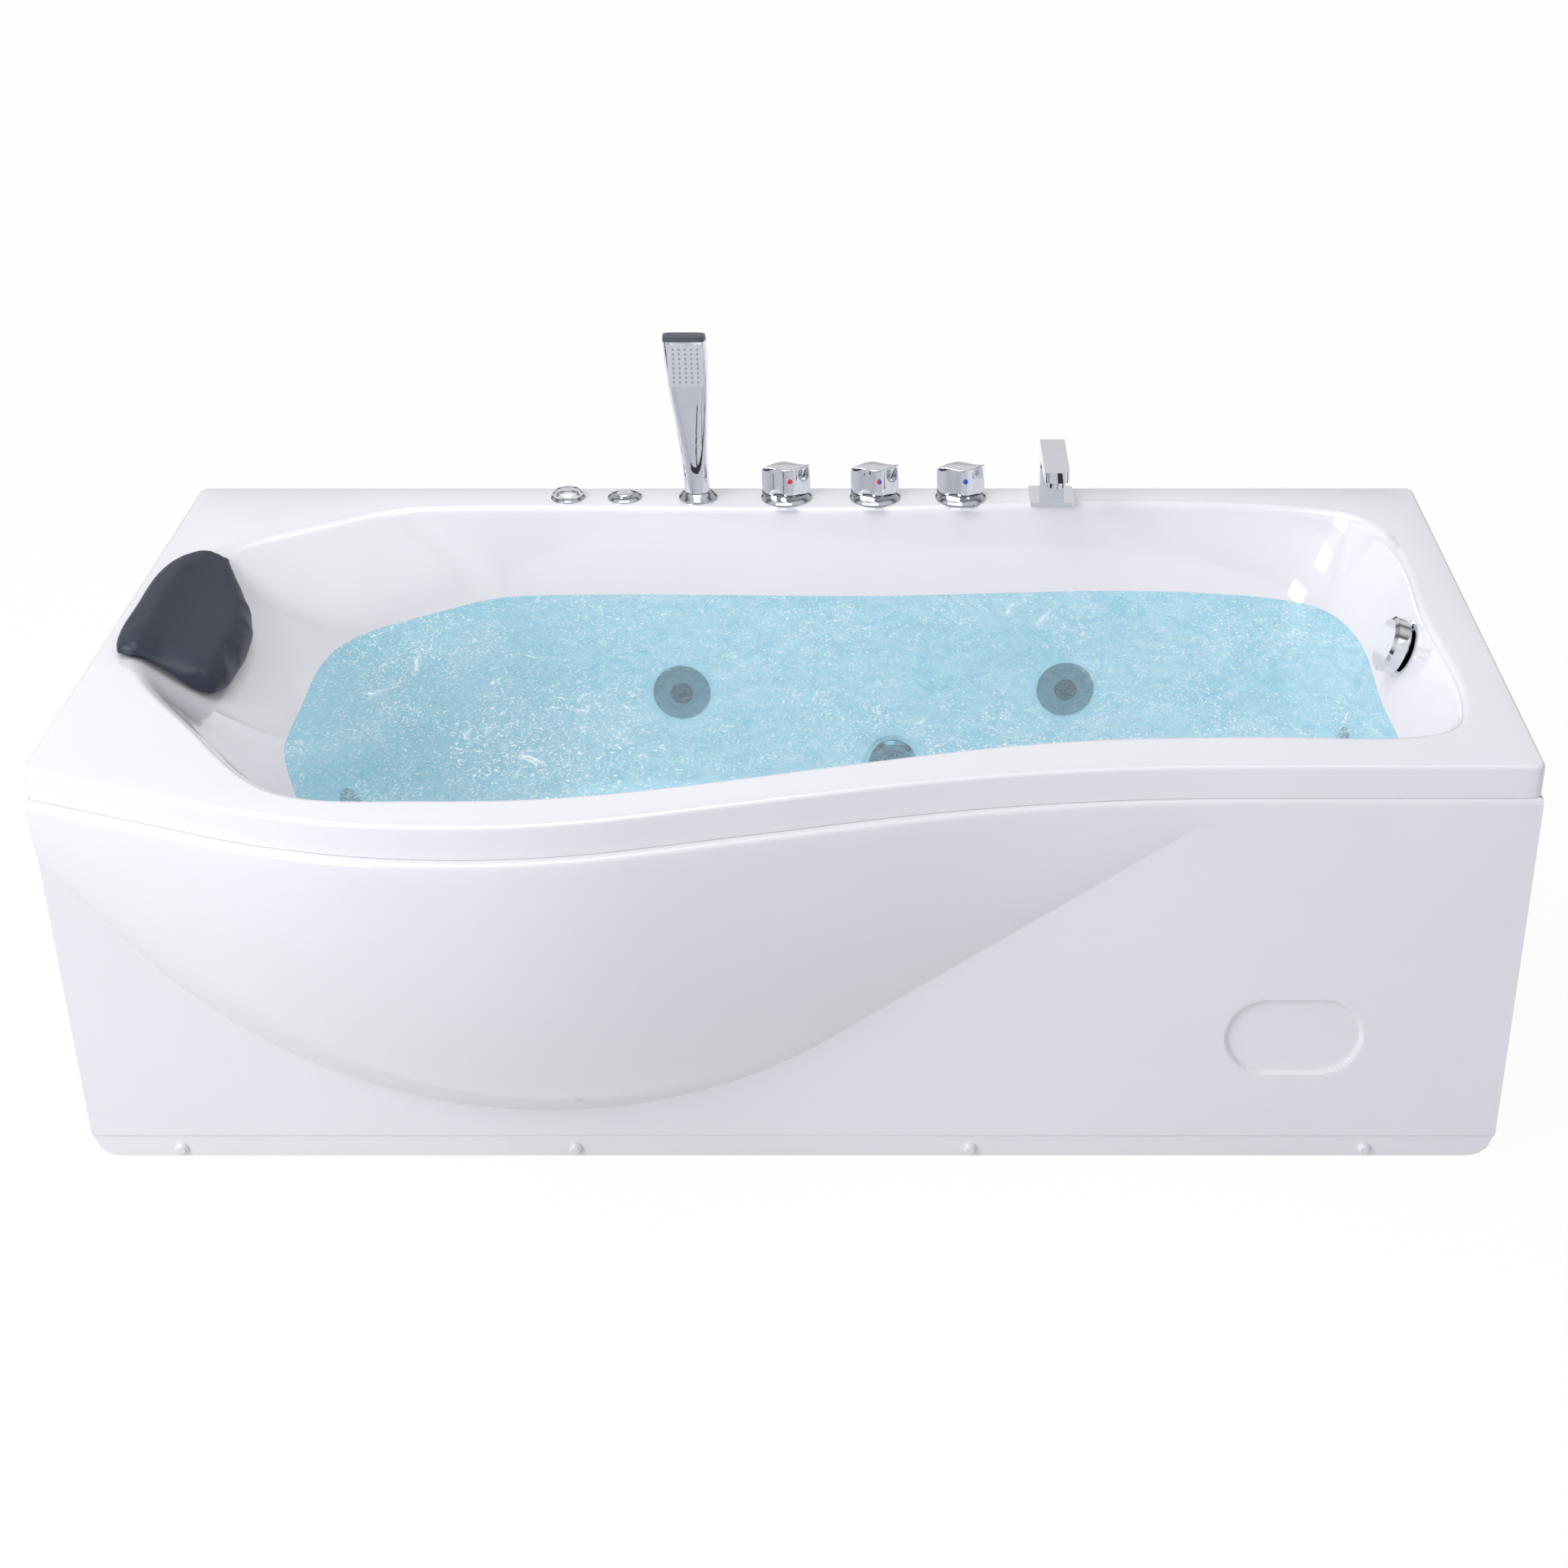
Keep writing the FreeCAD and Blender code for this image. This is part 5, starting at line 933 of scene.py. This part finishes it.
def makeNozzles():
    low, high = (Vector(corner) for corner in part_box("spray_plate"))
    piece = makeObject("sprayNozzles", bpy.data.meshes.new("nozzles"), finishes["spray_nozzle"])
    tree = nozzleTree()
    modifier = piece.modifiers.new("nozzles", "NODES")
    modifier.node_group = tree
    sizes = {
        "Width": spray["stepX"] * (spray["columns"] - 1) * mm,
        "Height": spray["stepZ"] * (spray["rows"] - 1) * mm,
        "Radius": spray["radius"] * mm, "Rise": spray["height"] * mm,
        "Columns": spray["columns"], "Rows": spray["rows"], "Finish": finishes["spray_nozzle"],
    }
    for words, value in sizes.items():
        modifier[inputName(tree, words)] = value
    keepModifiers(piece)
    middle = (low + high) / 2
    move = Matrix.Translation((middle.x, low.y, middle.z)) @ Matrix.Rotation(math.pi / 2, 4, "X")
    piece.data.transform(move)
    sharpen(piece.data, 40)
    return piece


nozzles = makeNozzles()
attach(nozzles, "hand_shower")

labels = {"length": 30, "width": 9, "high": 0.5, "y": 404, "places": (-27, 94, 215)}


def makeLabels():
    # a bare pill-shaped plate in front of each knob
    radius = labels["width"] / 2
    half, high = labels["length"] / 2 - radius, labels["high"]
    line = []
    for side in (1, -1):
        for k in range(17):
            turn = math.pi * (k / 16 - 0.5)
            line.append((side * (half + radius * math.cos(turn)), side * radius * math.sin(turn)))
    rings = Rings()
    for x in labels["places"]:
        stack = []
        for share, rise in ((1, -0.2), (1, high * 0.6), (0.97, high)):  # a worn upper edge
            stack.append([(x + px * share, labels["y"] + py * share, tub["rim"] + rise) for px, py in line])
        rows = rings.stack(stack)
        rings.faces += [tuple(rows[-1]), tuple(reversed(rows[0]))]
    mesh = meshOf("labels", np.array(rings.points) * mm, rings.faces, smooth=False)
    tidyMesh(mesh, 1e-6)
    return makeObject("labels", mesh, finishes["label_plate"])


plates = makeLabels()
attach(plates, "tub")
print("small things made")


# the water, only in the picture
water = {
    "level": 419, "past": 1.5, "stretch": (1, 0.7, 1), "turn": 0.25,
    "deep": (0.27, 0.66, 0.79), "paleTeal": (0.46, 0.82, 0.93), "foam": (0.9, 0.98, 1.0),
    # the teal light that the water gives off itself: a painted glow
    "glow": (0.22, 0.75, 0.95), "glowPower": 0.1,
    "calm": ((-0.151, 0.088), (0.34, 0.10), (0.121, -0.105)), "calmReach": (0.034, 0.05),
    "calmSquash": 0.5, "calmFoam": 0.12, "mostFoam": 0.95, "headEnd": (-0.56, -0.2), "ripple": (0.8, 0.008),
}
# scale, detail, roughness and distortion of each pattern, then what is kept of it and as what
waterPatterns = {
    "ripples": (90, 9, 0.72, 1.4),
    "specks": (105, 8, 0.74, 2.6, 0.53, 0.6),
    "drifts": (6.5, 5, 0.65, 0.8, 0.38, 0.62, 0.4, 1.0),
    "streaks": (13, 7, 0.7, 3.0, 0.57, 0.70),
    "streakPlaces": (3, 2, 0.5, 0.2, 0.45, 0.60),
    "haze": (8, 3, 0.6, 0.5, 0.3, 0.7, 0.0, 0.14),
    "tealShades": (24, 6, 0.7, 1.8, 0.36, 0.64),
}


def waterMaterial():
    # clear tinted water with a painted teal glow, under a skin of ripples and foam with a painted white glow
    made, nodes, shader = newMaterial("water")
    link = made.node_tree.links.new
    place = nodes.new("ShaderNodeTexCoord")
    stretch = addNode(nodes, "ShaderNodeMapping", Scale=water["stretch"], Rotation=(0, 0, water["turn"]))
    wire((place, "Object", stretch, "Vector"))

    def noise(scale, detail, rough, distortion):
        made = addNode(nodes, "ShaderNodeTexNoise", Scale=scale, Detail=detail, Roughness=rough)
        setSockets(made, Distortion=distortion)
        wire((stretch, "Vector", made, "Vector"))
        return made.outputs["Fac"]

    def ramp(source, low, high, least=0.0, most=1.0):
        made = addNode(nodes, "ShaderNodeMapRange", From_Min=low, From_Max=high, To_Min=least, To_Max=most)
        link(source, made.inputs["Value"])
        return made.outputs["Result"]

    def pattern(name):
        sizes = waterPatterns[name]
        return ramp(noise(*sizes[:4]), *sizes[4:])

    def maths(operation, first, second):
        plain = isinstance(second, float)
        made = mathNode(nodes, operation, None, second if plain else None)
        link(first, made.inputs[0])
        if not plain:
            link(second, made.inputs[1])
        return made.outputs["Value"]

    ripples = noise(*waterPatterns["ripples"])
    specks = maths("MULTIPLY", pattern("specks"), pattern("drifts"))
    streaks = maths("MULTIPLY", pattern("streaks"), pattern("streakPlaces"))
    white = maths("MAXIMUM", specks, streaks)
    cover = maths("MAXIMUM", maths("MULTIPLY", white, water["mostFoam"]), pattern("haze"))
    squash = water["calmSquash"]
    flat = addNode(nodes, "ShaderNodeMapping", Scale=(1, squash, 0))
    wire((place, "Object", flat, "Vector"))
    for x, y in water["calm"]:  # the streams of the jets part the foam here
        away = addNode(nodes, "ShaderNodeVectorMath", {"operation": "DISTANCE"})
        away.inputs[1].default_value = (x, squash * y, 0)
        wire((flat, "Vector", away, 0))
        calm = ramp(away.outputs["Value"], *water["calmReach"], water["calmFoam"])
        cover = maths("MULTIPLY", cover, calm)
    strength, distance = water["ripple"]
    bump = addNode(nodes, "ShaderNodeBump", Strength=strength, Distance=distance)
    link(ripples, bump.inputs["Height"])
    # the body's teal drifts between a darker and a paler shade in random patches and grows darker towards the head
    # end, not by the water's depth
    tealShades = mixNode(nodes, A=(*water["deep"], 1), B=(*water["paleTeal"], 1))
    split = nodes.new("ShaderNodeSeparateXYZ")
    wire((place, "Object", split, "Vector"))
    along = ramp(split.outputs["X"], *water["headEnd"])  # darker at the head end
    link(maths("MULTIPLY", pattern("tealShades"), along), tealShades.inputs["Factor"])
    clear = nodes.new("ShaderNodeBsdfTransparent")
    shine = addNode(nodes, "ShaderNodeBsdfGlossy", Roughness=0.08)
    skin = addNode(nodes, "ShaderNodeFresnel", IOR=1.33)
    # painted glow: the water gives off teal light of its own, in place of light scattered inside it
    glow = (*water["glow"], 1)
    paintedGlow = addNode(nodes, "ShaderNodeEmission", Color=glow, Strength=water["glowPower"])
    setSockets(shader, Base_Color=(*water["foam"], 1), Roughness=0.3)
    # painted light: the foam glows a little white of its own
    setSockets(shader, Emission_Color=(1, 1, 1, 1), Emission_Strength=0.2)
    body, whole = nodes.new("ShaderNodeMixShader"), nodes.new("ShaderNodeMixShader")
    clearWithGlow = nodes.new("ShaderNodeAddShader")
    for node in (shine, skin, shader):
        wire((bump, "Normal", node, "Normal"))
    wire(
        (tealShades, "Result", clear, "Color"), (skin, "Fac", body, "Fac"), (clear, "BSDF", body, 1),
        (shine, "BSDF", body, 2), (body, "Shader", clearWithGlow, 0), (paintedGlow, "Emission", clearWithGlow, 1),
    )
    link(cover, whole.inputs["Fac"])
    wire(
        (clearWithGlow, "Shader", whole, 1), (shader, "BSDF", whole, 2),
        (whole, "Shader", nodes["Material Output"], "Surface"),
    )
    return made


def makeWater():
    ring = wall.at(wall.placeOf(water["level"]))[0]
    line = level(shifted(ring, water["past"]), water["level"]) * mm
    mesh = meshOf("waterSkin", line, [tuple(range(len(line)))], smooth=False)
    piece = makeObject("water", mesh, waterMaterial())
    piece.visible_glossy = piece.visible_diffuse = piece.visible_shadow = False


makeWater()


# the room, the light and the camera
studio = {
    "camera": (0.1169, -2.7419, 1.8521), "tilt": 60.995, "lens": 56.517, "shiftX": -0.06758,
    "world": (0.60, 0.61, 0.66), "sideFall": 0.42,
    "floor": (0.56, 0.56, 0.58), "floorHalf": 9, "floorGlow": 1.05, "glowShare": 0.9,
    "cardLevel": 0.555, "cardAcross": (-0.2, 0.8, 0.305, 0.345), "cardAlong": (0.05, 0.31),
    "cardPlaces": (-0.13, -0.008, 0.115, 0.234, 0.36), "cardHalf": 0.008,
}
# where each lamp stands, what it aims at, its size and its power
lamps = {
    "softLeft": ((-2.5, -1.9, 2.8), (-0.1, 0, 0.4), (1.6, 1.4), 50),
    "softFront": ((-2.6, -3.4, 1.1), (-0.4, -0.4, 0.3), (1.6, 1.2), 24),
    "softTop": ((-0.3, 0.0, 3.0), (0, 0, 0.4), (2.4, 1.4), 16),
    "softRight": ((2.8, -1.8, 1.8), (0.3, 0, 0.3), (1.2, 1.2), 3),
}
# what mirrors see from the horizon up to straight above
mirrored = (
    (0.5, 0.75), (0.53, 0.05), (0.58, 0.07), (0.62, 0.5), (0.7, 0.78), (0.79, 0.6), (0.83, 0.1), (0.9, 0.95),
)


def makeRoom():
    half = studio["floorHalf"]
    corners = [(-half, -half, 0), (half, -half, 0), (half, half, 0), (-half, half, 0)]
    made, nodes, shader = newMaterial("floorPaint")
    setSockets(shader, Base_Color=(*studio["floor"], 1), Roughness=0.8)
    rays = nodes.new("ShaderNodeLightPath")
    seen = mathNode(nodes, "MAXIMUM")
    part = mathNode(nodes, "MULTIPLY", None, studio["glowShare"])
    glow = addNode(nodes, "ShaderNodeEmission", Strength=studio["floorGlow"])
    mix = nodes.new("ShaderNodeMixShader")
    wire(
        (rays, "Is Camera Ray", seen, 0), (rays, "Is Glossy Ray", seen, 1), (seen, "Value", part, 0),
        (part, "Value", mix, "Fac"), (shader, "BSDF", mix, 1), (glow, "Emission", mix, 2),
        (mix, "Shader", nodes["Material Output"], "Surface"),
    )
    makeObject("floor", meshOf("floor", corners, [(0, 1, 2, 3)], smooth=False), made)


def makeWorld():
    # white to the eye; mirrors see a white room with dark bands
    world = bpy.data.worlds.new("studio")
    world.use_nodes = True
    bpy.context.scene.world = world
    nodes = world.node_tree.nodes
    place, split = nodes.new("ShaderNodeTexCoord"), nodes.new("ShaderNodeSeparateXYZ")
    ramp = nodes.new("ShaderNodeValToRGB")
    first, last = ramp.color_ramp.elements
    first.position, last.position = 0.0, 1.0
    first.color, last.color = (0.9, 0.9, 0.92, 1), (1, 1, 1, 1)
    for position, shade in mirrored:
        ramp.color_ramp.elements.new(position).color = (shade, shade, shade * 1.02, 1)
    half = mathNode(nodes, "MULTIPLY_ADD", None, 0.5, 0.5)
    rays = nodes.new("ShaderNodeLightPath")
    fall = mathNode(nodes, "MULTIPLY_ADD", None, -studio["sideFall"], 1.0)  # brighter from the left
    soft = addNode(nodes, "ShaderNodeVectorMath", {"operation": "SCALE"})
    soft.inputs[0].default_value = studio["world"]
    plain, whole = mixNode(nodes), mixNode(nodes, B=(1, 1, 1, 1))
    wire(
        (place, "Generated", split, "Vector"), (split, "Z", half, 0), (split, "X", fall, 0),
        (fall, "Value", soft, "Scale"), (soft, "Vector", plain, "A"), (half, "Value", ramp, "Fac"),
        (rays, "Is Glossy Ray", plain, "Factor"), (ramp, "Color", plain, "B"),
        (rays, "Is Camera Ray", whole, "Factor"), (plain, "Result", whole, "A"),
        (whole, "Result", nodes["Background"], "Color"),
    )


def addLamp(name, place, aim, size, power):
    lamp = bpy.data.lights.new(name, "AREA")
    lamp.shape = "RECTANGLE"
    lamp.size, lamp.size_y = size
    lamp.energy = power
    made = bpy.data.objects.new(name, lamp)
    bpy.context.scene.collection.objects.link(made)
    made.location = place
    made.rotation_euler = (Vector(aim) - Vector(place)).to_track_quat("-Z", "Y").to_euler()


def makeCards():
    # black cards that only mirrors see: they give the chrome its dark edges
    half, high = studio["cardHalf"], studio["cardLevel"]
    flats = [studio["cardAcross"]]
    flats += [(x - half, x + half, *studio["cardAlong"]) for x in studio["cardPlaces"]]
    points, faces = [], []
    for x0, x1, y0, y1 in flats:
        faces.append(tuple(range(len(points), len(points) + 4)))
        points += [(x0, y0, high), (x1, y0, high), (x1, y1, high), (x0, y1, high)]
    made, _, shader = newMaterial("blackCard")
    setSockets(shader, Base_Color=(0.01, 0.01, 0.012, 1), Roughness=1.0)
    piece = makeObject("cards", meshOf("cards", points, faces, smooth=False), made)
    piece.visible_camera = piece.visible_diffuse = piece.visible_shadow = piece.visible_transmission = False


def makeCamera():
    camera = bpy.data.cameras.new("camera")
    camera.sensor_width = 36
    camera.lens = studio["lens"]
    camera.shift_x = studio["shiftX"]
    made = bpy.data.objects.new("camera", camera)
    bpy.context.scene.collection.objects.link(made)
    made.location = studio["camera"]
    made.rotation_euler = (math.radians(studio["tilt"]), 0, 0)
    bpy.context.scene.camera = made


makeRoom()
makeWorld()
makeCards()
for name, lamp in lamps.items():
    addLamp(name, *lamp)
makeCamera()
bpy.context.scene.view_settings.view_transform = "Standard"
print("room, lamps and camera set")
